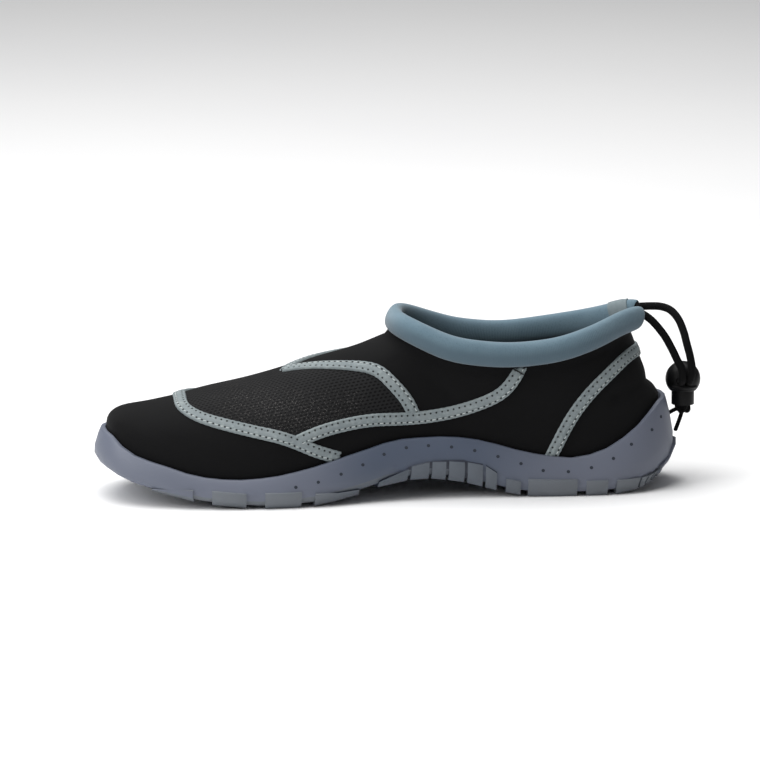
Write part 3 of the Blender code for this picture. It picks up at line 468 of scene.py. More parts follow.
def tree_of(obj):
    """A search tree over a finished mesh, to lay other pieces on it."""
    mesh = obj.data
    return BVHTree.FromPolygons(
        [v.co.copy() for v in mesh.vertices], [tuple(f.vertices) for f in mesh.polygons]
    )


def smooth_line(points, step):
    """Evenly spaced points on a smooth curve through given ones, in metres."""
    spots = [Vector(p) for p in points]
    spots = [spots[0] * 2 - spots[1]] + spots + [spots[-1] * 2 - spots[-2]]
    fine = []
    for i in range(1, len(spots) - 2):
        a, b, c, d = spots[i - 1 : i + 3]
        for j in range(CURVE_STEPS):
            t = j / CURVE_STEPS
            bend = a * 2 - b * 5 + c * 4 - d
            twist = b * 3 - a - c * 3 + d
            fine.append((b * 2 + (c - a) * t + bend * t**2 + twist * t**3) / 2)
    fine.append(spots[-2])
    walked = np.cumsum([0] + [(b - a).length for a, b in zip(fine, fine[1:])])
    count = max(2, round(walked[-1] / step))
    places = np.linspace(0, walked[-1], count + 1)
    columns = [np.interp(places, walked, [f[k] for f in fine]) for k in range(3)]
    return [Vector(p) for p in zip(*columns)]


# %% [markdown]
# ## Where the tapes run
# Stitched tapes cover the seams between the black cloth and the open mesh. Their centre lines are
# charted here once, in millimetres on the upper's skin, because three things follow them: the
# edge of the mesh panel, the soft troughs that their stitches pull in, and the tapes themselves.

# %% Tape lines, in millimetres
VAMP_LINE = [
    (-25.2, -39.3, 22.3), (-29.0, -40.4, 23.8), (-37.3, -42.5, 26.7), (-45.4, -43.0, 30.9),
    (-53.9, -42.7, 33.9),
    (-62.7, -41.4, 35.9), (-71.4, -39.3, 37.6), (-80.0, -36.7, 39.5), (-88.3, -33.5, 41.3),
    (-95.4, -28.3, 43.4), (-99.6, -20.6, 45.4), (-99.6, -11.8, 47.0), (-99.5, -3.7, 47.1),
    (-99.2, 5.2, 46.0), (-97.0, 13.8, 44.9), (-92.0, 21.0, 43.6), (-84.8, 26.4, 42.5),
    (-77.1, 31.0, 40.9), (-69.2, 35.2, 39.2), (-61.1, 38.8, 37.0), (-53.0, 41.6, 34.0),
    (-45.3, 43.7, 29.7), (-38.1, 44.8, 24.2), (-30.2, 44.3, 19.6), (-26.6, 44.0, 17.6),
]
SIDE_LINE = {
    "medial": [
        (-47.0, -43.0, 30.6), (-41.4, -42.1, 33.3), (-31.0, -39.9, 36.6), (-20.4, -37.1, 38.4),
        (-9.6, -34.6, 39.6),
        (1.2, -31.9, 39.2), (12.2, -30.0, 39.1), (23.2, -29.0, 40.1), (34.1, -28.8, 42.2),
        (44.6, -30.0, 45.9), (54.5, -31.3, 50.8), (61.2, -31.1, 59.5),
        (63.2, -31.0, 63.2), (64.4, -30.9, 66.2),
    ],
    "lateral": [
        (-48.0, 42.9, 31.4), (-43.2, 42.8, 33.0), (-31.9, 42.3, 34.9), (-20.5, 41.4, 35.0),
        (-9.1, 40.7, 33.9),
        (2.0, 39.0, 31.7), (13.2, 36.9, 31.4), (24.3, 34.5, 33.1), (34.9, 32.3, 36.8),
        (44.9, 30.9, 42.3), (54.4, 30.4, 48.7), (61.2, 29.7, 57.8),
        (63.2, 29.4, 61.6), (64.4, 29.2, 64.6),
    ],
}
INSTEP_LINE = {
    "medial": [
        (-48.7, -6.5, 59.6), (-40.4, -11.2, 62.0), (-31.7, -15.5, 63.3), (-22.6, -19.1, 63.8),
        (-13.2, -21.8, 63.5), (-5.0, -25.3, 62.5), (1.2, -29.1, 56.1), (8.0, -30.3, 49.1),
        (12.0, -30.1, 40.3),
    ],
    "lateral": [
        (-48.7, -6.5, 59.6), (-44.8, -0.2, 60.4), (-40.2, 3.8, 61.5), (-31.3, 10.4, 62.7),
        (-22.1, 16.0, 63.2),
        (-12.6, 20.4, 62.9), (-4.7, 27.1, 60.5), (1.2, 32.2, 52.3), (7.4, 35.2, 43.3),
        (10.9, 37.2, 32.8),
    ],
}
HEEL_LINE = [
    (77.7, -28.4, 17.6), (79.3, -28.7, 20.9), (83.6, -29.4, 29.9), (88.3, -29.9, 38.7),
    (94.3, -29.3, 46.7),
    (101.2, -27.2, 53.7), (108.5, -23.7, 59.5), (115.0, -17.8, 64.3), (120.5, -9.7, 65.9),
    (123.6, -0.2, 65.4), (120.7, 9.3, 65.0), (115.5, 17.3, 62.1), (109.1, 23.4, 57.3),
    (101.5, 27.2, 52.2), (94.1, 29.4, 45.7), (87.9, 30.2, 37.9), (83.2, 30.4, 29.1),
    (78.9, 30.4, 20.0), (77.4, 30.4, 16.8),
]


def in_metres(line):
    return [tuple(value / 1000 for value in point) for point in line]


TAPE_WIDTH = 0.0064
STITCH_PITCH = 0.0029
STEPS_PER_STITCH = 4
TAPE_STEP = STITCH_PITCH / STEPS_PER_STITCH
TAPE_LINES = {
    "vamp_tape": VAMP_LINE,
    "side_tape_medial": SIDE_LINE["medial"],
    "side_tape_lateral": SIDE_LINE["lateral"],
    "instep_tape_medial": INSTEP_LINE["medial"],
    "instep_tape_lateral": INSTEP_LINE["lateral"],
    "heel_tape": HEEL_LINE,
}
EASE_REACH = 5
EASE_TIMES = 4


def eased(path):
    """A path with its tight places rounded: each point goes to the middle of those near it."""
    spots = rows_of(path)
    for _ in range(EASE_TIMES):
        before = spots.copy()
        for i in range(1, len(spots) - 1):
            reach = min(EASE_REACH, i, len(spots) - 1 - i)
            spots[i] = before[i - reach : i + reach + 1].mean(axis=0)
    return smooth_line([tuple(s) for s in spots[::6]] + [tuple(spots[-1])], TAPE_STEP)


tape_paths = {
    name: eased(smooth_line(in_metres(line), TAPE_STEP)) for name, line in TAPE_LINES.items()
}
for name, path in tape_paths.items():
    print(name, "is", round(len(path) * TAPE_STEP * 1000), "mm long")

# %% [markdown]
# ## The upper
# The upper is black stretch cloth over thin foam, with an open mesh panel on the vamp. One skin
# carries both, and each face is told which it is by where it lies between the tape lines. Real
# cloth isn't as even as the CAD surface: stitches draw it in beside each tape and under the
# collar, and the forefoot has a few shallow flex lines. These are soft troughs pressed into the
# skin along charted lines, each with a depth and a width in metres.

# %% Upper skin and its soft troughs
upper = skin_of("upper", "upper_cloth", levels=2)
TROUGHS = [
    # start, middle, end in millimetres; depth and width in metres
    ((-66, -30, 45), (-63, -36, 39), (-60, -41, 30), 0.0006, 0.0050),
    ((-52, -34, 47), (-49, -39, 40), (-46, -43, 31), 0.0005, 0.0045),
    ((-68, 26, 47), (-64, 34, 41), (-60, 40, 33), 0.0006, 0.0050),
    ((-53, 33, 47), (-50, 39, 40), (-47, 43, 32), 0.0005, 0.0045),
    ((-118, -22, 33), (-108, -30, 30), (-97, -36, 29), 0.0004, 0.0050),
    ((110, -25, 47), (128, 0, 50), (110, 25, 46), 0.0018, 0.0070),
    ((113, -23, 42), (130, 0, 45.5), (113, 23, 41), -0.0011, 0.0055),
    ((4, -27, 68), (16, -29, 60), (30, -30, 50), 0.0005, 0.0060),
    ((6, 25, 68), (18, 29, 58), (32, 33, 46), 0.0005, 0.0060),
]
HEART_ENDS = 0.09
HEART_HEIGHT = 0.02
TAPE_PULL = (0.00025, 0.0100)
TROUGH_STEP = 0.002
rough_tree = tree_of(upper)


def on_outside(path):
    """A path laid on the skin, and the outward direction at each of its points."""
    spots = []
    ways = []
    for point in path:
        spot, way, _, _ = rough_tree.find_nearest(point)
        heart = Vector((max(-HEART_ENDS, min(HEART_ENDS, spot.x)), 0, HEART_HEIGHT))
        spots.append(spot)
        ways.append(way if way.dot(spot - heart) > 0 else -way)
    return rows_of(spots), rows_of(ways)


def near_line(places, line, reach):
    """Which points are near a line, how far off each is, and which of its points is nearest."""
    low = line.min(axis=0) - reach
    high = line.max(axis=0) + reach
    near = np.where(((places > low) & (places < high)).all(axis=1))[0]
    gaps = np.linalg.norm(places[near, None, :] - line[None, :, :], axis=2)
    return near, gaps.min(axis=1), gaps.argmin(axis=1)


def press(obj, path, depth, width):
    """Moves a skin in by a soft trough along a path, or out by a ridge where depth is below 0."""
    places = rows_of(v.co for v in obj.data.vertices)
    line, ways = on_outside(path)
    near, gaps, nearest = near_line(places, line, width * 2)
    push = depth * np.exp(-((gaps / (width / 2)) ** 2))
    places[near] -= ways[nearest] * push[:, None]
    move_points(obj, places)


for start, middle, end, depth, width in TROUGHS:
    press(upper, smooth_line(in_metres([start, middle, end]), TROUGH_STEP), depth, width)
upper_tree = tree_of(upper)
for path in tape_paths.values():
    press(upper, path[::4], *TAPE_PULL)
print("pressed", len(TROUGHS), "troughs and", len(tape_paths), "tape lines")


# %% Which faces are mesh
def across_at(line, x, column):
    """A line's height or sideways place where it passes x, in metres."""
    rows = sorted(in_metres(line))
    return float(np.interp(x, [r[0] for r in rows], [r[column] for r in rows]))


VAMP_FRONT = -0.0995
VAMP_BACK = 0.013
MIDDLE_Y = -0.0055
JOIN_X = -0.042
CRISP_X = -0.005
apex = min(range(len(VAMP_LINE)), key=lambda i: abs(VAMP_LINE[i][1] + 4))
VAMP_HALF = {"medial": VAMP_LINE[: apex + 1], "lateral": VAMP_LINE[apex:]}


def is_mesh(spot, normal):
    """Whether a place on the outer skin lies in the panel between the tapes."""
    x, y, z = spot
    if normal.z < -0.2 or x < VAMP_FRONT or x > VAMP_BACK:
        return False
    side = "medial" if y < MIDDLE_Y else "lateral"
    low = VAMP_HALF[side] if x < JOIN_X else SIDE_LINE[side]
    if z < across_at(low, x, 2):
        return False
    if x < INSTEP_LINE[side][0][0] / 1000:
        return True
    line = INSTEP_LINE[side]
    if x < CRISP_X:
        edge = across_at(line, x, 1)
        return y < edge if side == "medial" else y > edge
    return z < across_at(line, x, 2)


panel_faces = 0
for face in upper.data.polygons:
    spot = face.center
    heading = Vector((0, spot.y + 0.005, spot.z - HEART_HEIGHT))
    outer = face.normal.dot(heading) > 0
    inside = outer and is_mesh(spot, face.normal)
    face.material_index = 1 if inside else 0
    panel_faces += inside
print("mesh panel faces:", panel_faces)

# %% [markdown]
# The mesh needs a map that follows the cloth without stretching, so its faces alone are unwrapped
# and the map is scaled to metres. The pattern is rows of oval holes, each row shifted by half a
# hole, with painted glints, a painted highlight, on the thread ribs between them.


# %% Map of the mesh panel, in metres
def unwrap_in_metres(obj, wanted):
    """Unwraps the faces that wanted() accepts, and scales the map to real lengths."""
    mesh = obj.data
    layer = mesh.uv_layers.new(name="metres")
    mesh.uv_layers.active = layer
    activate(obj)
    bpy.ops.object.mode_set(mode="EDIT")
    bpy.ops.mesh.select_all(action="DESELECT")
    bpy.ops.object.mode_set(mode="OBJECT")
    for face in mesh.polygons:
        face.select = wanted(face)
    bpy.ops.object.mode_set(mode="EDIT")
    bpy.ops.uv.unwrap(method="ANGLE_BASED", margin=0.0)
    bpy.ops.object.mode_set(mode="OBJECT")
    layer = mesh.uv_layers["metres"]
    real = 0.0
    drawn = 0.0
    for face in mesh.polygons:
        if not wanted(face):
            continue
        real += face.area
        corners = [layer.data[i].uv for i in face.loop_indices]
        drawn += abs(sum(
            a.x * b.y - b.x * a.y for a, b in zip(corners, corners[1:] + corners[:1])
        )) / 2
    scale = math.sqrt(real / drawn)
    for corner in layer.data:
        corner.uv = corner.uv * scale
    print(obj.name, "map scaled by", round(scale, 4), "m")


unwrap_in_metres(upper, lambda face: face.material_index == 1)

# %% Cloth and mesh materials
cloth = new_material(
    "black stretch cloth", srgb(13, 13, 14), srgb(9, 9, 10), 30, 0.85, 2600, 0.00012,
    Sheen_Weight=0.02, Sheen_Roughness=0.5, Specular_IOR_Level=0.12,
)[0]

HOLE_ALONG = 0.0023
HOLE_ACROSS = 0.0017
net, tree, shader, colour, surface = new_material(
    "black open mesh", srgb(31, 31, 32), srgb(21, 21, 22), 60, 0.8, 1800, 0.00015,
    Specular_IOR_Level=0.15,
)
along, across = metres_along(tree)
row = math_node(tree, "DIVIDE", across, HOLE_ACROSS)
shift = times(tree, math_node(tree, "FLOOR", row), 0.5)
step = math_node(tree, "ADD", math_node(tree, "DIVIDE", along, HOLE_ALONG), shift)
x_in = math_node(tree, "SUBTRACT", math_node(tree, "FRACT", step), 0.5)
y_in = math_node(tree, "SUBTRACT", math_node(tree, "FRACT", row), 0.5)
solid = fade(tree, length_of(tree, x_in, times(tree, y_in, 1.25)), 0.24, 0.36)
x, _, z = object_axes(tree)
middle = times(
    tree,
    fade(tree, x, -0.092, -0.068),
    opposite(tree, fade(tree, x, -0.024, -0.006)),
    opposite(tree, fade(tree, z, 0.048, 0.058)),
)
# painted highlight: light glint specks on the threads in the middle of the panel
painted_glint = times(tree, fade(tree, noise_in(tree, 2500), 0.60, 0.70), middle)
backed = mixed(tree, middle, srgb(3, 3, 4), srgb(17, 17, 18))
thread = mixed(tree, painted_glint, colour, srgb(112, 109, 107))
cover(tree, shader, mixed(tree, solid, backed, thread), bumped(tree, solid, 0.0009, surface))
wear(upper, cloth, net)
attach(upper, "shoe")
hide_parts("upper")

# %% [markdown]
# ## The tapes
# A tape is a folded strip of grey webbing, 6.4 mm wide, laid over a seam and sewn with two rows.
# Each is built as a strip along its line: the strip's cross-section is laid on the upper's skin
# at every quarter of a stitch, dips where the two rows of stitches pull it down, and is rounded
# at its edges. The stitches are short threads with a dark needle hole between each two.

# %% Tape strips
SECTION = [
    # places of the strip's points across it, from -1 at one edge to 1 at the other
    -1.0, -0.94, -0.80, -0.66, -0.52, -0.38, -0.18, 0.0,
    0.18, 0.38, 0.52, 0.66, 0.80, 0.94, 1.0,
]
ROW_PLACE = 0.52
ROW_WIDTH = 0.13
TAPE_HEIGHT = 0.0010
ROW_DIP = 0.00034
MIDDLE_RISE = 0.00016
TAPE_SUNK = 0.0004
SINK_OVER = 0.004


def tape_height(across, along):
    """The strip's height above the cloth, in metres."""
    edge = (1 - abs(across) ** 10) ** 0.5 if abs(across) < 1 else 0.0
    row = math.exp(-(((abs(across) - ROW_PLACE) / ROW_WIDTH) ** 2))
    wave = 0.5 - 0.5 * math.cos(2 * math.pi * along / STITCH_PITCH)
    middle = MIDDLE_RISE * math.exp(-((across / 0.25) ** 2))
    return TAPE_HEIGHT * edge - ROW_DIP * row * (0.4 + 0.6 * wave) + middle


def smoothed(vectors, reach):
    """Each direction averaged with its neighbours."""
    rows = rows_of(vectors)
    out = []
    for i in range(len(rows)):
        mean = rows[max(0, i - reach) : i + reach + 1].mean(axis=0)
        out.append(Vector(mean).normalized())
    return out


def lay_tape(name, path, sink_start, sink_end):
    """A closed strip of tape on the upper, and its frames for the stitches."""
    normals = smoothed([upper_tree.find_nearest(p)[1] for p in path], 6)
    total = TAPE_STEP * (len(path) - 1)
    verts = []
    maps = []
    frames = []
    for i, centre in enumerate(path):
        along = (path[min(i + 1, len(path) - 1)] - path[max(i - 1, 0)]).normalized()
        normal = normals[i]
        across = normal.cross(along).normalized()
        walked = i * TAPE_STEP
        sink = sink_start * max(0.0, 1 - walked / SINK_OVER)
        sink += sink_end * max(0.0, 1 - (total - walked) / SINK_OVER)
        pull = 1 - 0.06 * (0.5 - 0.5 * math.cos(2 * math.pi * walked / STITCH_PITCH))
        rows = [(share, pull, tape_height(share, walked) - sink) for share in SECTION]
        for share, narrow, height in rows + [(1.0, 1, -TAPE_SUNK), (-1.0, 1, -TAPE_SUNK)]:
            beside = centre + across * share * narrow * TAPE_WIDTH / 2
            verts.append(upper_tree.find_nearest(beside)[0] + normal * height)
            maps.append((walked, share * TAPE_WIDTH / 2))
        frames.append((centre, along, across, normal, walked, sink))
    faces = tube_faces(len(path), len(SECTION) + 2)
    tape = built(name, verts, faces, [maps[v] for face in faces for v in face])
    edit_all(tape, bpy.ops.mesh.normals_make_consistent, inside=False)
    tape.data.shade_smooth()
    return tape, frames


print("tape is", TAPE_WIDTH * 1000, "mm wide, with a stitch every", STITCH_PITCH * 1000, "mm")

# %% [markdown]
# The webbing's own map tells how far along and across the tape a place is. It carries the weave,
# the dark needle holes of both rows, and some lighter blotches where the tape puckers up. Three
# threads sew it: pale, a painted highlight, on the row where the light catches the stitches, grey
# on the other row, and dark for the bar tacks.

# %% Webbing and threads
tape_stock, tree, shader, colour, surface = new_material(
    "grey webbing", srgb(131, 140, 142), srgb(112, 123, 127), 90, 0.72, 1500, 0.0001
)
along, across = metres_along(tree)
weave = times(tree, wave_of(tree, along, 0.00055), wave_of(tree, across, 0.00070))
in_stitch = math_node(tree, "FRACT", math_node(tree, "DIVIDE", along, STITCH_PITCH))
off_middle = math_node(tree, "ABSOLUTE", math_node(tree, "SUBTRACT", in_stitch, 0.5))
to_hole = times(tree, math_node(tree, "SUBTRACT", off_middle, 0.5), STITCH_PITCH)
off_centre = math_node(tree, "ABSOLUTE", across)
to_row = math_node(tree, "SUBTRACT", off_centre, ROW_PLACE * TAPE_WIDTH / 2)
clear = fade(tree, length_of(tree, to_hole, to_row), 0.00034, 0.00062)
pucker = noise_in(tree, 420)
# lighter blotches where the pucker noise is high, the same noise that lifts the surface
blotch = fade(tree, pucker, 0.50, 0.72)
blotched = mixed(tree, times(tree, blotch, 0.45), colour, srgb(156, 166, 166))
woven = bumped(tree, weave, 0.00006, surface)
woven = bumped(tree, pucker, 0.0005, woven)
woven = bumped(tree, clear, 0.0003, woven)
cover(tree, shader, mixed(tree, clear, srgb(20, 27, 29), blotched), woven)
pale_thread, grey_thread, dark_thread = [
    new_material(f"{word} sewing thread", shade, other, scale, roughness, 3000, 0.00005)[0]
    for word, shade, other, scale, roughness in (
        # pale: the grey thread with a painted highlight, for the row that catches the light
        ("pale", srgb(194, 201, 200), srgb(128, 138, 140), 500, 0.4),
        ("grey", srgb(136, 146, 148), srgb(110, 121, 125), 400, 0.6),
        ("dark", srgb(30, 33, 36), srgb(22, 24, 26), 400, 0.6),
    )
]
print("tape and threads:", [m.name for m in (tape_stock, pale_thread, grey_thread, dark_thread)])

# %% One short thread
THREAD_RADIUS = 0.00026
THREAD_SIDES = 6


def thread_mesh(length):
    """A short thread, thin at its ends, along X, as points and faces."""
    rings = [(-0.5, 0.35), (-0.36, 0.85), (-0.12, 1.0), (0.12, 1.0), (0.36, 0.85), (0.5, 0.35)]
    points = []
    for place, size in rings:
        dip = -1.0 if abs(place) > 0.45 else 0.0
        for cosine, sine in circle(THREAD_SIDES):
            out, up_by = cosine * size, sine * size + dip
            points.append((place * length, out * THREAD_RADIUS, up_by * THREAD_RADIUS))
    return points, tube_faces(len(rings), THREAD_SIDES)


# %% Stitches: the thread copied along both rows of a tape
SEWN_ENDS = 0.001
THREAD_SHARE = 0.70
SEED = 7


def sew(name, frames, shiny):
    """The two rows of stitches on a tape, as one mesh: the shiny side's threads stand proud."""
    points, faces = thread_mesh(STITCH_PITCH * THREAD_SHARE)
    rng = np.random.default_rng(SEED)
    verts = []
    polys = []
    stocks = []
    for i in range(2, len(frames) - 2, STEPS_PER_STITCH):
        centre, along, across, normal, walked, sink = frames[i]
        if walked < SEWN_ENDS or walked > frames[-1][4] - SEWN_ENDS:
            continue
        for side in (-1, 1):
            middle = centre + across * side * ROW_PLACE * TAPE_WIDTH / 2
            spot = upper_tree.find_nearest(middle)[0]
            proud = 0.75 if side == shiny else -0.35
            spot = spot + normal * (tape_height(ROW_PLACE, walked) + THREAD_RADIUS * proud - sink)
            swing = float(rng.normal(0, 0.10)) + (0.16 if side > 0 else 0.0)
            heading = (along + across * swing).normalized()
            sideways = normal.cross(heading).normalized()
            size = float(rng.uniform(0.72, 1.08))
            spot = spot + along * float(rng.normal(0, 0.00012))
            placed = [
                spot + heading * x * size + sideways * y * size + normal * z for x, y, z in points
            ]
            add_copy(verts, polys, placed, faces)
            # the shiny row wears the pale thread, a painted highlight, and the other row the grey
            # one
            stocks += [0 if side == shiny else 1] * len(faces)
    rows = built(name, verts, polys)
    wear(rows, pale_thread, grey_thread)
    rows.data.polygons.foreach_set("material_index", stocks)
    rows.data.shade_smooth()
    return rows


# %% Bar tack: the thread copied across a tape
def bar_tack(name, frames, back_from_end):
    """A dense dark zigzag across a tape, where it goes under the collar."""
    points, faces = thread_mesh(TAPE_WIDTH * 0.145)
    total = frames[-1][4]
    centre, along, across, normal, walked, _ = min(
        frames, key=lambda frame: abs(frame[4] - (total - back_from_end))
    )
    verts = []
    polys = []
    for k in range(TACK_THREADS):
        share = (k + 0.5) / TACK_THREADS * 2 - 1
        spot = upper_tree.find_nearest(centre + across * share * TAPE_WIDTH * 0.46)[0]
        spot = spot + normal * (tape_height(share * 0.9, walked) + THREAD_RADIUS * 0.9)
        swing = 0.35 if k % 2 else -0.35
        heading = (across + along * swing).normalized()
        sideways = normal.cross(heading).normalized()
        placed = [spot + heading * x + sideways * y * 1.4 + normal * z for x, y, z in points]
        add_copy(verts, polys, placed, faces)
    tack = built(name, verts, polys)
    wear(tack, dark_thread)
    tack.data.shade_smooth()
    return tack


# %% Every tape laid and sewn
TACK_THREADS = 9
TACK_BACK = 0.0056
SHINY_SIDE = {
    # which row of each tape shows its thread and wears the painted highlight, seen along the tape
    # from its start
    "vamp_tape": 1,
    "side_tape_medial": -1,
    "side_tape_lateral": 1,
    "instep_tape_medial": 1,
    "instep_tape_lateral": -1,
    "heel_tape": -1,
}
SINKS = {
    # how far each tape's start and end dip under the tape that crosses it, in metres
    "vamp_tape": (0.0, 0.0),
    "side_tape_medial": (0.0008, 0.0),
    "side_tape_lateral": (0.0008, 0.0),
    "instep_tape_medial": (0.0, 0.0008),
    "instep_tape_lateral": (0.0005, 0.0008),
    "heel_tape": (0.0, 0.0),
}
total_stitches = 0
for name, path in tape_paths.items():
    tape, frames = lay_tape(name.replace("_tape", "_webbing"), path, *SINKS[name])
    wear(tape, tape_stock)
    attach(tape, "shoe")
    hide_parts(name)
    rows = sew(name.replace("_tape", "_stitches"), frames, SHINY_SIDE[name])
    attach(rows, "shoe")
    total_stitches += triangles(rows)
    if name.startswith("side_tape"):
        tack = bar_tack(name.replace("_tape", "_bar_tack"), frames, TACK_BACK)
        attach(tack, "shoe")
print("stitches have", total_stitches, "triangles")

# %% [markdown]
# ## The collar
# The collar is a strip of pale blue knit wrapped round a foam cord and sewn down along the upper's
# edge. It swells between its seams, so it is run as cloth: the points that touch the upper are
# held, a light pressure fills the rest, and no point may move more than a set distance. The roll is
# only 10 mm thick, so the smoothed CAD tube itself is the cloth. A coarser remesh would lose its
# form.

# %% Collar skin, swollen as cloth
SEWN_WITHIN = 0.0010
PUFF_PRESSURE = 4.0
PUFF_FRAMES = 14
PUFF_CAP = 0.0007


def swell(obj):
    """Runs a closed skin as cloth under pressure, and caps how far each point moves."""
    mesh = obj.data
    before = rows_of(v.co for v in mesh.vertices)
    sewn = [v.index for v in mesh.vertices if upper_tree.find_nearest(v.co)[3] < SEWN_WITHIN]
    group = obj.vertex_groups.new(name="sewn")
    group.add(sewn, 1.0, "REPLACE")
    puff = obj.modifiers.new("puff", "CLOTH")
    puff.settings.use_pressure = True
    puff.settings.uniform_pressure_force = PUFF_PRESSURE
    puff.settings.effector_weights.gravity = 0.0
    puff.settings.vertex_group_mass = group.name
    puff.collision_settings.use_collision = False
    puff.point_cache.frame_end = PUFF_FRAMES
    scene = bpy.context.scene
    for frame_number in range(1, PUFF_FRAMES + 1):
        scene.frame_set(frame_number)
    finish_modifiers(obj)
    scene.frame_set(1)
    after = rows_of(v.co for v in mesh.vertices)
    moved = np.linalg.norm(after - before, axis=1)
    share = np.minimum(1.0, PUFF_CAP / np.maximum(moved, 1e-9))
    move_points(obj, before + (after - before) * share[:, None])
    obj.vertex_groups.clear()
    print(obj.name, "moved up to", round(moved.max() * 1000, 2), "mm before the cap")


collar = skin_of("collar", "collar_knit_roll", levels=1)
swell(collar)
subdivide(collar, 1)
collar.data.shade_smooth()
print("collar_knit_roll has", triangles(collar), "triangles")

# %% [markdown]
# The knit's map is made from a line through the middle of the tube, so that its fine ribs follow
# the roll all the way round the opening.

# %% Collar map
COLLAR_LINE = [
    (125.6, -9.4, 84.3), (120.9, -12.6, 82.9), (116.3, -15.7, 82.2), (101.1, -26.3, 77.4),
    (86.0, -30.2, 72.8),
    (71.3, -31.4, 70.5), (56.5, -32.0, 69.8), (41.7, -31.4, 70.9), (27.6, -29.3, 73.5),
    (13.7, -23.8, 79.3), (4.6, -10.7, 82.6), (4.3, -3.0, 82.5), (4.6, 4.8, 82.6),
    (13.6, 18.8, 79.2), (27.7, 25.7, 73.1), (41.9, 28.8, 69.6), (56.5, 30.2, 68.1),
    (71.1, 30.4, 69.0), (86.5, 29.6, 71.1), (101.4, 26.0, 74.0), (110.7, 19.4, 77.1),
    (115.6, 16.3, 79.4), (120.4, 12.9, 81.0), (125.4, 9.8, 84.3),
]
collar_path = smooth_line(in_metres(COLLAR_LINE), 0.001)
ROLL_RADIUS = 0.0053
CHUNK = 4000


def map_round_line(obj, path, radius):
    """A map in metres: along the line, and round it."""
    line = rows_of(path)
    ahead = np.gradient(line, axis=0)
    ahead /= np.linalg.norm(ahead, axis=1)[:, None]
    walked = np.concatenate([[0], np.cumsum(np.linalg.norm(np.diff(line, axis=0), axis=1))])
    spots = rows_of(v.co for v in obj.data.vertices)
    nearest = np.empty(len(spots), int)
    for start in range(0, len(spots), CHUNK):
        part = spots[start : start + CHUNK]
        gaps = np.linalg.norm(part[:, None, :] - line[None, :, :], axis=2)
        nearest[start : start + CHUNK] = gaps.argmin(axis=1)
    offset = spots - line[nearest]
    along = walked[nearest] + (offset * ahead[nearest]).sum(axis=1)
    outward = np.cross(ahead[nearest], np.array([0.0, 0.0, 1.0]))
    outward /= np.linalg.norm(outward, axis=1)[:, None]
    above = np.cross(outward, ahead[nearest])
    angle = np.arctan2((offset * outward).sum(axis=1), (offset * above).sum(axis=1))
    layer = obj.data.uv_layers.new(name="metres")
    for face in obj.data.polygons:
        turns = [angle[v] for v in face.vertices]
        wraps = max(turns) - min(turns) > math.pi
        for index, vertex in zip(face.loop_indices, face.vertices):
            turn = angle[vertex] + (2 * math.pi if wraps and angle[vertex] < 0 else 0)
            layer.data[index].uv = (along[vertex], turn * radius)
    print(obj.name, "map is", round(float(along.max()) * 1000), "mm long")


map_round_line(collar, collar_path, ROLL_RADIUS)

# %% [markdown]
# The upper's edge is sewn up inside the roll, so no light shows between them. Its points close to
# the middle of the roll are drawn in towards it.

# %% Upper's edge tucked into the roll
TUCK_REACH = 0.0092
TUCK_BLEND = 0.0014
TUCK_DEPTH = 0.0034
line = rows_of(collar_path)
places = rows_of(v.co for v in upper.data.vertices)
near, gaps, nearest = near_line(places, line, TUCK_REACH)
share = np.clip((TUCK_REACH - gaps) / TUCK_BLEND, 0, 1)
way = line[nearest] - places[near]
way /= np.linalg.norm(way, axis=1)[:, None]
places[near] += way * (share * TUCK_DEPTH)[:, None]
move_points(upper, places)
print("tucked", int((share > 0).sum()), "points of the upper's edge into the roll")

# %% Collar material
RIB_PITCH = 0.00080
knit, tree, shader, colour, surface = new_material(
    "blue collar knit", srgb(97, 122, 135), srgb(86, 112, 126), 140, 0.9, 2200, 0.00012,
    Sheen_Weight=0.25, Sheen_Roughness=0.6,
)
along, around = metres_along(tree)
ribs = math_node(tree, "MULTIPLY_ADD", wave_of(tree, along, RIB_PITCH), 0.5, 0.5)
heather = fade(tree, noise_in(tree, 1400), 0.52, 0.70)
# painted shade in the valleys between the knit's ribs
painted_valley_shade = times(tree, opposite(tree, ribs), 0.14)
shade = mixed(tree, painted_valley_shade, colour, srgb(74, 102, 118))
# painted shade on the outer, lower side of the roll, where less light reaches it
painted_underside_shade = fade(tree, times(tree, around, -1.0), 0.0015, 0.0105)
shade = mixed(tree, times(tree, painted_underside_shade, 0.8), shade, srgb(62, 82, 94))
shade = mixed(tree, times(tree, heather, 0.30), shade, srgb(66, 88, 102))
cover(tree, shader, shade, bumped(tree, ribs, 0.00004, surface))
wear(collar, knit)
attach(collar, "shoe")
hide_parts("collar")

# %% [markdown]
# ## The sole
# The sole is one moulding of violet-grey rubber with greyer lugs along its foot. The CAD solid has
# every lug, so a copy is only softened: each hard edge gets a small bevel, as a mould leaves. The
# wall, the lugs and the tread are told apart by spreading out from a few of their faces over
# everything that joins on smoothly. The deep grooves between the arch's ribs, and the wall between
# them, get painted shade in a darker colour; the wall and lugs also get painted shade along the
# arch.

# %% Sole skin, sorted into wall, lugs, pads and rib grooves
sole = skin_of("outsole", "cup_sole", levels=0, pair=False)
SAME_FACE = math.radians(30)
WALL, LUG, PAD, GROOVE_SHADE = range(4)


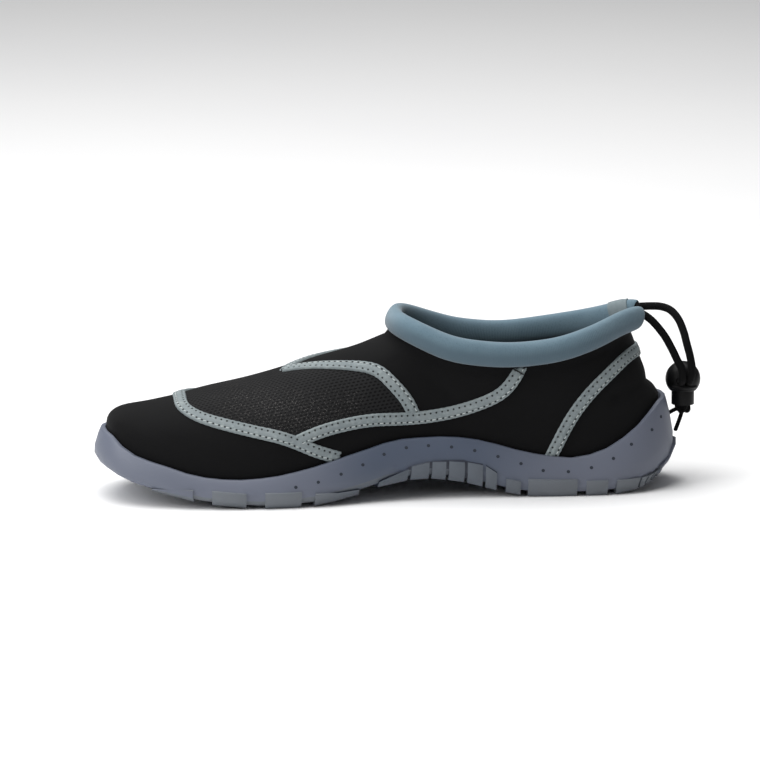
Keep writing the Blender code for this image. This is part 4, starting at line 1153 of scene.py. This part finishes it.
def spread_from(obj, is_seed):
    """All faces that a smooth surface joins to the seeds, as a hand would select them."""
    activate(obj)
    bpy.ops.object.mode_set(mode="EDIT")
    bpy.ops.mesh.select_mode(type="FACE")
    bpy.ops.mesh.select_all(action="DESELECT")
    bpy.ops.object.mode_set(mode="OBJECT")
    for face in obj.data.polygons:
        face.select = is_seed(face.center, face.normal)
    bpy.ops.object.mode_set(mode="EDIT")
    bpy.ops.mesh.faces_select_linked_flat(sharpness=SAME_FACE)
    bpy.ops.object.mode_set(mode="OBJECT")
    return {face.index for face in obj.data.polygons if face.select}


def on_wall(spot, normal):
    """High on the outside, above every lug."""
    rise = 0.0215 if -0.02 < spot.x < 0.06 else 0.0185
    outside = normal.y * spot.y > 0.2 * abs(spot.y) or abs(spot.x) > 0.125
    return spot.z > rise and outside and abs(normal.z) < 0.55


wall_faces = spread_from(sole, on_wall)
bed_faces = spread_from(sole, lambda spot, normal: normal.z > 0.8 and abs(spot.y) < 0.012)
PAD_EDGE = 0.78
PAD_RIM = 0.006
RIB_REACH = (-0.030, 0.056)
counts = [0, 0, 0, 0]
for face in sole.data.polygons:
    spot, normal = face.center, face.normal
    inwards = normal.y * spot.y < -0.3 * abs(spot.y) and normal.z < 0.6 and spot.z > 0.012
    half = 0.050 if spot.x < 0 else 0.034
    if face.index in wall_faces or face.index in bed_faces or inwards:
        face.material_index = WALL
    elif normal.z < -0.8 and abs(spot.y) < half * PAD_EDGE - PAD_RIM:
        face.material_index = PAD
    # faces inside the ribs' grooves get the painted groove shade
    elif (
        RIB_REACH[0] < spot.x < RIB_REACH[1]
        and spot.z > 0.003
        and (abs(normal.x) > 0.75 or normal.z > 0.55)
    ):
        face.material_index = GROOVE_SHADE
    else:
        face.material_index = LUG
    counts[face.material_index] += 1
print("faces of wall, lugs, pads and rib grooves:", counts)
soften(sole, 0.00035, 2, 38, 40)
print("cup_sole has", triangles(sole), "triangles")

# %% Sole rubbers
ARCH_SHADE_REACH = (-0.045, -0.005, 0.035, 0.085)


def paint_arch_shade(tree, shader, colour, shade):
    """Mixes painted shade in along the arch, where the wall leans in under the foot."""
    start, full, full_end, end = ARCH_SHADE_REACH
    x = object_axes(tree)[0]
    mask = times(tree, fade(tree, x, start, full), opposite(tree, fade(tree, x, full_end, end)))
    shaded = mixed(tree, mask, colour, shade)
    cover(tree, shader, shaded)
    return shaded


wall_rubber, tree, shader, colour, _ = new_material(
    "violet grey sole rubber", srgb(101, 106, 120), srgb(93, 99, 113), 18, 0.52, 700, 0.00008
)
# painted shade along the arch of the wall
base = paint_arch_shade(tree, shader, colour, srgb(74, 83, 100))

RIB_TOPS = [
    # place along X and height of the ribs' tops, in millimetres
    (-6.0, 7.8), (5.0, 12.0), (8.5, 16.0), (18.6, 17.9), (26.8, 18.6), (35.8, 18.3),
    (44.6, 14.6), (45.4, 8.0),
]
RIB_SHADE_OVER = 0.0007
CHART_HEIGHT = 0.03
x, _, z = object_axes(tree)
curve = tree.nodes.new("ShaderNodeFloatCurve")
low_x, high_x = RIB_TOPS[0][0] / 1000, RIB_TOPS[-1][0] / 1000
share = math_node(tree, "DIVIDE", math_node(tree, "SUBTRACT", x, low_x), high_x - low_x)
tree.links.new(share, curve.inputs["Value"])
line = curve.mapping.curves[0].points
while len(line) < len(RIB_TOPS):
    line.new(0.5, 0.5)
for point, (rib_x, rib_z) in zip(line, RIB_TOPS):
    point.location = (
        (rib_x / 1000 - low_x) / (high_x - low_x), rib_z / 1000 / CHART_HEIGHT
    )
    point.handle_type = "VECTOR"
curve.mapping.update()
top = math_node(tree, "MULTIPLY_ADD", curve.outputs["Value"], CHART_HEIGHT, RIB_SHADE_OVER)
# painted shade on the wall between the arch's ribs, below their tops
above = fade(tree, math_node(tree, "SUBTRACT", z, top), -0.0003, 0.0005)
within = times(tree, fade(tree, share, 0.0, 0.02), opposite(tree, fade(tree, share, 0.98, 1.0)))
between = times(tree, within, opposite(tree, above))
cover(tree, shader, mixed(tree, between, base, srgb(44, 50, 64)))
lug_rubber, tree, shader, colour, _ = new_material(
    "grey lug rubber", srgb(104, 109, 115), srgb(95, 100, 107), 30, 0.58, 700, 0.0001
)
# painted shade along the arch of the lugs
paint_arch_shade(tree, shader, colour, srgb(86, 93, 102))
tread_rubber, tree, shader, colour, surface = new_material(
    "knurled tread rubber", srgb(101, 106, 114), srgb(92, 98, 107), 30, 0.62, 700, 0.0001
)
KNURL_PITCH = 0.0026
x, y, _ = object_axes(tree)
ridges = []
for sign in (1, -1):
    slant = math_node(tree, "MULTIPLY_ADD", y, sign * 1.5, x)
    wave = math_node(tree, "PINGPONG", slant, KNURL_PITCH / 2)
    ridges.append(fade(tree, wave, KNURL_PITCH * 0.06, KNURL_PITCH * 0.22))
knurl = times(tree, *ridges)
# painted shade in the grooves between the knurl's ridges
knurled = mixed(tree, knurl, srgb(78, 84, 94), colour)
cover(tree, shader, knurled, bumped(tree, knurl, 0.0006, surface))
# painted shade for the faces in the rib grooves
rib_groove_painted_shade = new_material(
    "shaded rib grooves", srgb(46, 52, 66), srgb(40, 46, 58), 30, 0.6, 700, 0.00008
)[0]
wear(sole, wall_rubber, lug_rubber, tread_rubber, rib_groove_painted_shade)
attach(sole, "shoe")
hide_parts("outsole")

# %% [markdown]
# The wall of the sole has a row of small moulded pinholes that follows its top edge. Each is a
# shallow dark dimple laid on the wall; its dark colour is painted shade standing in for the hole's
# depth. They are charted by their place along the shoe and their height on each side.

# %% Pinholes
PINHOLES = [
    # place along X, height on the inner side, height on the outer side, in millimetres
    (-46.7, 10.4, 10.2), (-35.8, 12.3, 11.0), (-24.6, 15.4, 11.8), (-13.9, 19.1, 12.6),
    (-3.4, 23.3, 13.6), (7.6, 25.7, 14.2), (18.4, 26.2, 14.6), (29.6, 25.2, 14.6),
    (40.8, 23.2, 14.4), (52.0, 20.1, 14.0), (63.1, 16.5, 13.4), (73.8, 13.0, 12.8),
    (86.0, 12.2, 12.4), (97.2, 13.9, 14.0), (108.0, 17.9, 18.0), (117.0, 24.1, 24.2),
    (125.6, 29.9, 30.0), (131.5, 35.0, 35.0),
]
DIMPLE_SIDES = 14
HEEL_TURN, TURN_Y = 120, 0.0215
HEEL_END, END_Y = 130, 0.0165
DIMPLE_SIZE = (0.00085, 0.00080)
DIMPLE_RINGS = ((1.0, 0.00004), (0.72, 0.00009))
sole_tree = tree_of(sole)
dimple = tube_faces(len(DIMPLE_RINGS), DIMPLE_SIDES)
del dimple[DIMPLE_SIDES]  # the cap towards the sole, which nobody sees
verts = []
faces = []
for x, inner, outer in PINHOLES:
    for side, z in ((-1, inner), (1, outer)):
        start = Vector((x / 1000, side * 0.12, z / 1000))
        spot, normal, _, _ = sole_tree.ray_cast(start, Vector((0, -side, 0)))
        if x > HEEL_TURN:
            lean = Vector((0.7, side * 0.7, 0)).normalized()
            target = Vector((x / 1000, side * (TURN_Y if x < HEEL_END else END_Y), z / 1000))
            spot, normal, _, _ = sole_tree.ray_cast(target + lean * 0.1, -lean)
        wide = normal.cross(Vector((0, 0, 1))).normalized() * DIMPLE_SIZE[0]
        tall = wide.cross(normal).normalized() * DIMPLE_SIZE[1]
        points = []
        for ring, lift in DIMPLE_RINGS:
            for cosine, sine in circle(DIMPLE_SIDES):
                points.append(spot + (wide * cosine + tall * sine) * ring + normal * lift)
        add_copy(verts, faces, points, dimple)
pinholes = built("sole_pinholes", verts, faces)
# painted shade: the dark colour stands in for the pinholes' depth
wear(pinholes, new_material(
    "pinhole shade", srgb(34, 39, 50), srgb(28, 33, 42), 200, 0.7, 900, 0.00005
)[0])
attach(pinholes, "shoe")
print("pinholes:", len(PINHOLES) * 2)

# %% [markdown]
# ## Insole and label
# The insole is a flat footbed with a cloth top, seen only through the collar. The label is a bare
# patch of grey webbing on the inside of the collar's outer end.

# %% Insole and label
insole = skin_of("insole", "footbed", levels=0, pair=False)
soften(insole, 0.0008, 3, 50, 50)
wear(insole, new_material(
    "dark footbed cloth", srgb(40, 42, 46), srgb(32, 33, 36), 60, 0.9, 1500, 0.0002
)[0])
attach(insole, "shoe")
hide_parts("insole")

LABEL_FROM = 0.1130
LABEL_TO = 0.1222
LABEL_TURNS = (-10, 105)
LABEL_STANDS = 0.00025
LABEL_COLUMNS = 17
LABEL_THICK = 0.0005
collar_tree = tree_of(collar)
verts = []
stations = [
    i for i, p in enumerate(collar_path) if p.y > 0 and LABEL_FROM < p.x < LABEL_TO
]
turns = np.radians(np.linspace(*LABEL_TURNS, LABEL_COLUMNS))
for i in stations:
    ahead = (collar_path[i + 1] - collar_path[i - 1]).normalized()
    inward = ahead.cross(Vector((0, 0, 1))).normalized()
    above = inward.cross(ahead)
    for turn in turns:
        way = above * math.cos(turn) + inward * math.sin(turn)
        spot = collar_tree.find_nearest(collar_path[i] + way * 0.0055)[0]
        verts.append(tuple(spot + way * LABEL_STANDS))
wide = len(turns)
faces = [
    (r * wide + c, r * wide + c + 1, (r + 1) * wide + c + 1, (r + 1) * wide + c)
    for r in range(len(stations) - 1)
    for c in range(wide - 1)
]
label = built("bare_label", verts, faces)
thick = label.modifiers.new("thickness", "SOLIDIFY")
thick.thickness = LABEL_THICK
thick.offset = 0.0
finish_modifiers(label)
edit_all(label, bpy.ops.mesh.normals_make_consistent, inside=False)
bpy.ops.object.shade_smooth_by_angle(angle=math.radians(50))
print("label has", triangles(label), "triangles")
wear(label, new_material(
    "pale label cloth", srgb(116, 128, 132), srgb(98, 112, 117), 400, 0.75, 1600, 0.0001
)[0])
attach(label, "shoe")
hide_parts("heel_label")

# %% [markdown]
# ## The cord lock
# The lock is a moulded ball with a cross hole for the cord and a sprung button below. The ball is
# a fine sphere cut by the same bores as the CAD solid, so that its outline is truly round at this
# size. A low lip runs round it on the photo's side, and its edges get a small bevel. The button
# rides on its own body, because it presses in.

# %% Ball and button
LOCK_CENTRE = Vector((0.1453, 0.0, 0.0500))
LOCK_RADIUS = 0.0085
LOCK_CUT = 0.0055
BUTTON_RADIUS = 0.0055
CORD_RADIUS = 0.0019
CORD_SPACING = 0.0041
GAP = 0.0003
BUTTON_OVER = 0.0010
PRESS = 0.0020


def above_lock(height):
    return LOCK_CENTRE + Vector((0, 0, height))


def combine(obj, other, operation):
    """Cuts another piece's room out of a piece, or joins it on, and removes the other piece."""
    change = obj.modifiers.new("change", "BOOLEAN")
    change.operation = operation
    change.solver = "EXACT"
    change.object = other
    finish_modifiers(obj)
    bpy.data.objects.remove(other, do_unlink=True)


def long_hole(low, high):
    """A rounded slot along Y, as wide as two cords side by side."""
    hole = fresh(
        bpy.ops.mesh.primitive_cube_add,
        dimensions=(CORD_SPACING + 2 * CORD_RADIUS + 2 * GAP, 0.04, high - low),
        size=1,
        location=above_lock((low + high) / 2),
    )
    corners = hole.modifiers.new("round", "BEVEL")
    corners.width = min(CORD_RADIUS + GAP, (high - low) / 2) * 0.98
    corners.segments = 6
    corners.limit_method = "WEIGHT"
    weights = hole.data.attributes.new("bevel_weight_edge", "FLOAT", "EDGE")
    for edge in hole.data.edges:
        a, b = (hole.data.vertices[i].co for i in edge.vertices)
        weights.data[edge.index].value = 1.0 if abs(a.y - b.y) > 0.01 else 0.0
    finish_modifiers(hole)
    return hole


ball = fresh(
    bpy.ops.mesh.primitive_uv_sphere_add,
    segments=64,
    ring_count=40,
    radius=LOCK_RADIUS,
    location=LOCK_CENTRE,
)
ball.name = "lock_ball"
edit_all(
    ball,
    bpy.ops.mesh.bisect,
    plane_co=above_lock(-LOCK_CUT),
    plane_no=(0, 0, 1),
    use_fill=True,
    clear_inner=True,
)
half_hole = CORD_RADIUS + GAP
bore_top = half_hole + BUTTON_OVER + PRESS + GAP
bore = fresh(
    bpy.ops.mesh.primitive_cylinder_add,
    vertices=48,
    radius=BUTTON_RADIUS + GAP,
    depth=bore_top + LOCK_RADIUS,
    location=above_lock((bore_top - LOCK_RADIUS) / 2),
)
combine(ball, bore, "DIFFERENCE")
combine(ball, long_hole(-half_hole, half_hole), "DIFFERENCE")
LIP_DROP = 0.0030
LIP_THICK = 0.0009
LIP_FROM = 0.0058
lip_ring = fresh(
    bpy.ops.mesh.primitive_torus_add,
    major_radius=math.sqrt(LOCK_RADIUS**2 - LIP_DROP**2) - LIP_THICK * 0.35,
    minor_radius=LIP_THICK,
    major_segments=64,
    minor_segments=12,
    location=above_lock(-LIP_DROP),
)
edit_all(
    lip_ring,
    bpy.ops.mesh.bisect,
    plane_co=LOCK_CENTRE - Vector((0, LIP_FROM, 0)),
    plane_no=(0, 1, 0),
    use_fill=True,
    clear_outer=True,
)
combine(ball, lip_ring, "UNION")
soften(ball, 0.0005, 3, 35, 40)

button_low = -LOCK_CUT - 0.0070
button_high = half_hole + BUTTON_OVER
button = fresh(
    bpy.ops.mesh.primitive_cylinder_add,
    vertices=64,
    radius=BUTTON_RADIUS,
    depth=button_high - button_low,
    location=above_lock((button_high + button_low) / 2),
)
button.name = "lock_plunger"
combine(button, long_hole(-half_hole - PRESS, half_hole), "DIFFERENCE")
soften(button, 0.0009, 4, 50, 40)
moulded = new_material(
    "black moulded plastic", srgb(11, 11, 12), srgb(8, 8, 9), 40, 0.42, 1200, 0.00004,
    Specular_IOR_Level=0.14,
)[0]
for piece, body, node in ((ball, "shoe", "lock_body"), (button, "button", "lock_button")):
    wear(piece, moulded)
    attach(piece, body)
    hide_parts(node)
print("lock:", triangles(ball), "and", triangles(button), "triangles")

# %% [markdown]
# ## The drawcord
# A braided cord, 3.8 mm thick, comes out of each end of the collar, falls behind the heel, passes
# through the lock and ends in a knot with two thin tails. It is limp, so it hangs in smooth bends
# of at least two diameters. Each run is a tube along its own line with a map round it, and the
# braid is a pattern of crossing strands on that map, with painted shade in the gaps between them.

# %% Cord lines, in millimetres
NEAR_LINE = [
    (117.67, -15.23, 83.92), (120.76, -12.94, 83.92), (123.85, -10.64, 83.92),
    (124.81, -9.92, 83.92), (129.20, -11.80, 80.60), (134.40, -13.00, 74.20),
    (137.90, -14.30, 68.00), (140.50, -15.50, 62.50), (142.84, -16.10, 57.60),
    (143.25, -13.87, 52.23), (143.25, -8.50, 50.00), (143.25, 0.00, 50.00),
    (143.25, 8.50, 50.00), (144.51, 13.87, 47.77), (145.35, 16.10, 42.40),
    (145.35, 16.10, 35.70),
]
FAR_LINE = [
    (117.90, 15.53, 83.87), (120.98, 13.23, 83.87), (124.06, 10.92, 83.87),
    (125.03, 10.20, 83.87), (130.40, 5.60, 84.90), (134.80, 2.20, 85.20),
    (138.80, -2.00, 84.20), (142.00, -6.80, 80.80), (144.10, -10.90, 75.50),
    (145.20, -13.90, 70.60), (146.80, -15.70, 64.00), (147.76, -16.10, 57.60),
    (147.35, -13.87, 52.23), (147.35, -8.50, 50.00), (147.35, 0.00, 50.00),
    (147.35, 8.50, 50.00), (148.61, 13.87, 47.77), (149.45, 16.10, 42.40),
    (149.45, 16.10, 35.70),
]
KNOT_CENTRE = Vector((0.1474, 0.0161, 0.0323))
TAIL_LINES = {
    "near": [(147.5, 16.0, 32.0), (145.7, 14.5, 27.0), (143.2, 12.6, 21.2)],
    "far": [(144.6, 17.6, 31.2), (142.8, 19.0, 30.0), (140.0, 20.5, 28.0)],
}


def hose(name, path, radius, sides=20, end_size=0.55):
    """A closed round tube along a path, with a map in metres along and round it."""
    normal = (path[1] - path[0]).orthogonal().normalized()
    walked = 0.0
    lengths_at = []
    verts = []
    for i, spot in enumerate(path):
        ahead = (path[min(i + 1, len(path) - 1)] - path[max(i - 1, 0)]).normalized()
        normal = (normal - ahead * normal.dot(ahead)).normalized()
        if i:
            walked += (spot - path[i - 1]).length
        lengths_at.append(walked)
        other = ahead.cross(normal)
        size = end_size if i in (0, len(path) - 1) else 1.0
        for cosine, sine in circle(sides):
            verts.append(spot + (normal * cosine + other * sine) * radius * size)
    maps = []
    for here, there in zip(lengths_at, lengths_at[1:]):
        for k in range(sides):
            near, far = (2 * math.pi * turn / sides * radius for turn in (k, k + 1))
            maps += [(here, near), (here, far), (there, far), (there, near)]
    maps += [(0, 0)] * (2 * sides)
    tube = built(name, verts, tube_faces(len(path), sides), maps)
    tube.data.shade_smooth()
    return tube


print("cord lines have", len(NEAR_LINE), "and", len(FAR_LINE), "points")


# %% Braid
def braid_material(name, radius, strands, lay):
    """Crossing strands on the map, with painted shade between them: strands round the cord, one
    turn in a lay of that length.
    """
    made, tree, shader, colour, surface = new_material(
        name, srgb(12, 12, 13), srgb(8, 8, 9), 300, 0.85, 4000, 0.00005,
        Specular_IOR_Level=0.12,
    )
    along, around = metres_along(tree)
    turns = math_node(tree, "DIVIDE", around, 2 * math.pi * radius / strands)
    rise = math_node(tree, "DIVIDE", along, lay / strands)
    left, right_way = (
        wave_of(tree, math_node(tree, way, turns, rise), 2) for way in ("ADD", "SUBTRACT")
    )
    height = times(
        tree, math_node(tree, "ABSOLUTE", left), math_node(tree, "ABSOLUTE", right_way)
    )
    # painted shade in the gaps between the strands
    strand = mixed(tree, fade(tree, height, 0.0, 0.35), srgb(3, 3, 4), colour)
    cover(tree, shader, strand, bumped(tree, height, 0.00022, surface))
    return made


CORD_STEP = 0.0009
TAIL_STEP = 0.0005
TAIL_SIDES = 14
TAIL_RADIUS = 0.0010
braid = braid_material("black braided cord", CORD_RADIUS, 10, 0.0105)
tail_braid = braid_material("black cord core", TAIL_RADIUS, 6, 0.0060)

cord_path = {
    "near": smooth_line(in_metres(NEAR_LINE), CORD_STEP),
    "far": smooth_line(in_metres(FAR_LINE), CORD_STEP),
}
runs = {}
for end, path in cord_path.items():
    runs[end] = hose(f"drawcord_{end}", path, CORD_RADIUS)
    wear(runs[end], braid)
tails = {}
for end, line in TAIL_LINES.items():
    tail_path = smooth_line(in_metres(line), TAIL_STEP)
    tails[end] = hose(f"cord_end_{end}", tail_path, TAIL_RADIUS, TAIL_SIDES)
    wear(tails[end], tail_braid)

# %% Knot: one thin strand wound over and under itself three times
KNOT_STRAND = 0.00150
KNOT_REACH = 0.00090
KNOT_STEPS = 90
loop = []
for i in range(KNOT_STEPS + 1):
    t = 2 * math.pi * i / KNOT_STEPS
    loop.append(KNOT_CENTRE + Vector((
        (math.sin(t) + 2 * math.sin(2 * t)) * KNOT_REACH,
        (math.cos(t) - 2 * math.cos(2 * t)) * KNOT_REACH,
        -math.sin(3 * t) * KNOT_STRAND,
    )))
knot = hose("cord_end_knot", loop, KNOT_STRAND, TAIL_SIDES, end_size=1.0)
wear(knot, tail_braid)

for piece, node in (
    (runs["near"], "cord_near"),
    (runs["far"], "cord_far"),
    (knot, "cord_knot"),
    (tails["near"], "cord_tail_near"),
    (tails["far"], "cord_tail_far"),
):
    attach(piece, "shoe")
    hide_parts(node)
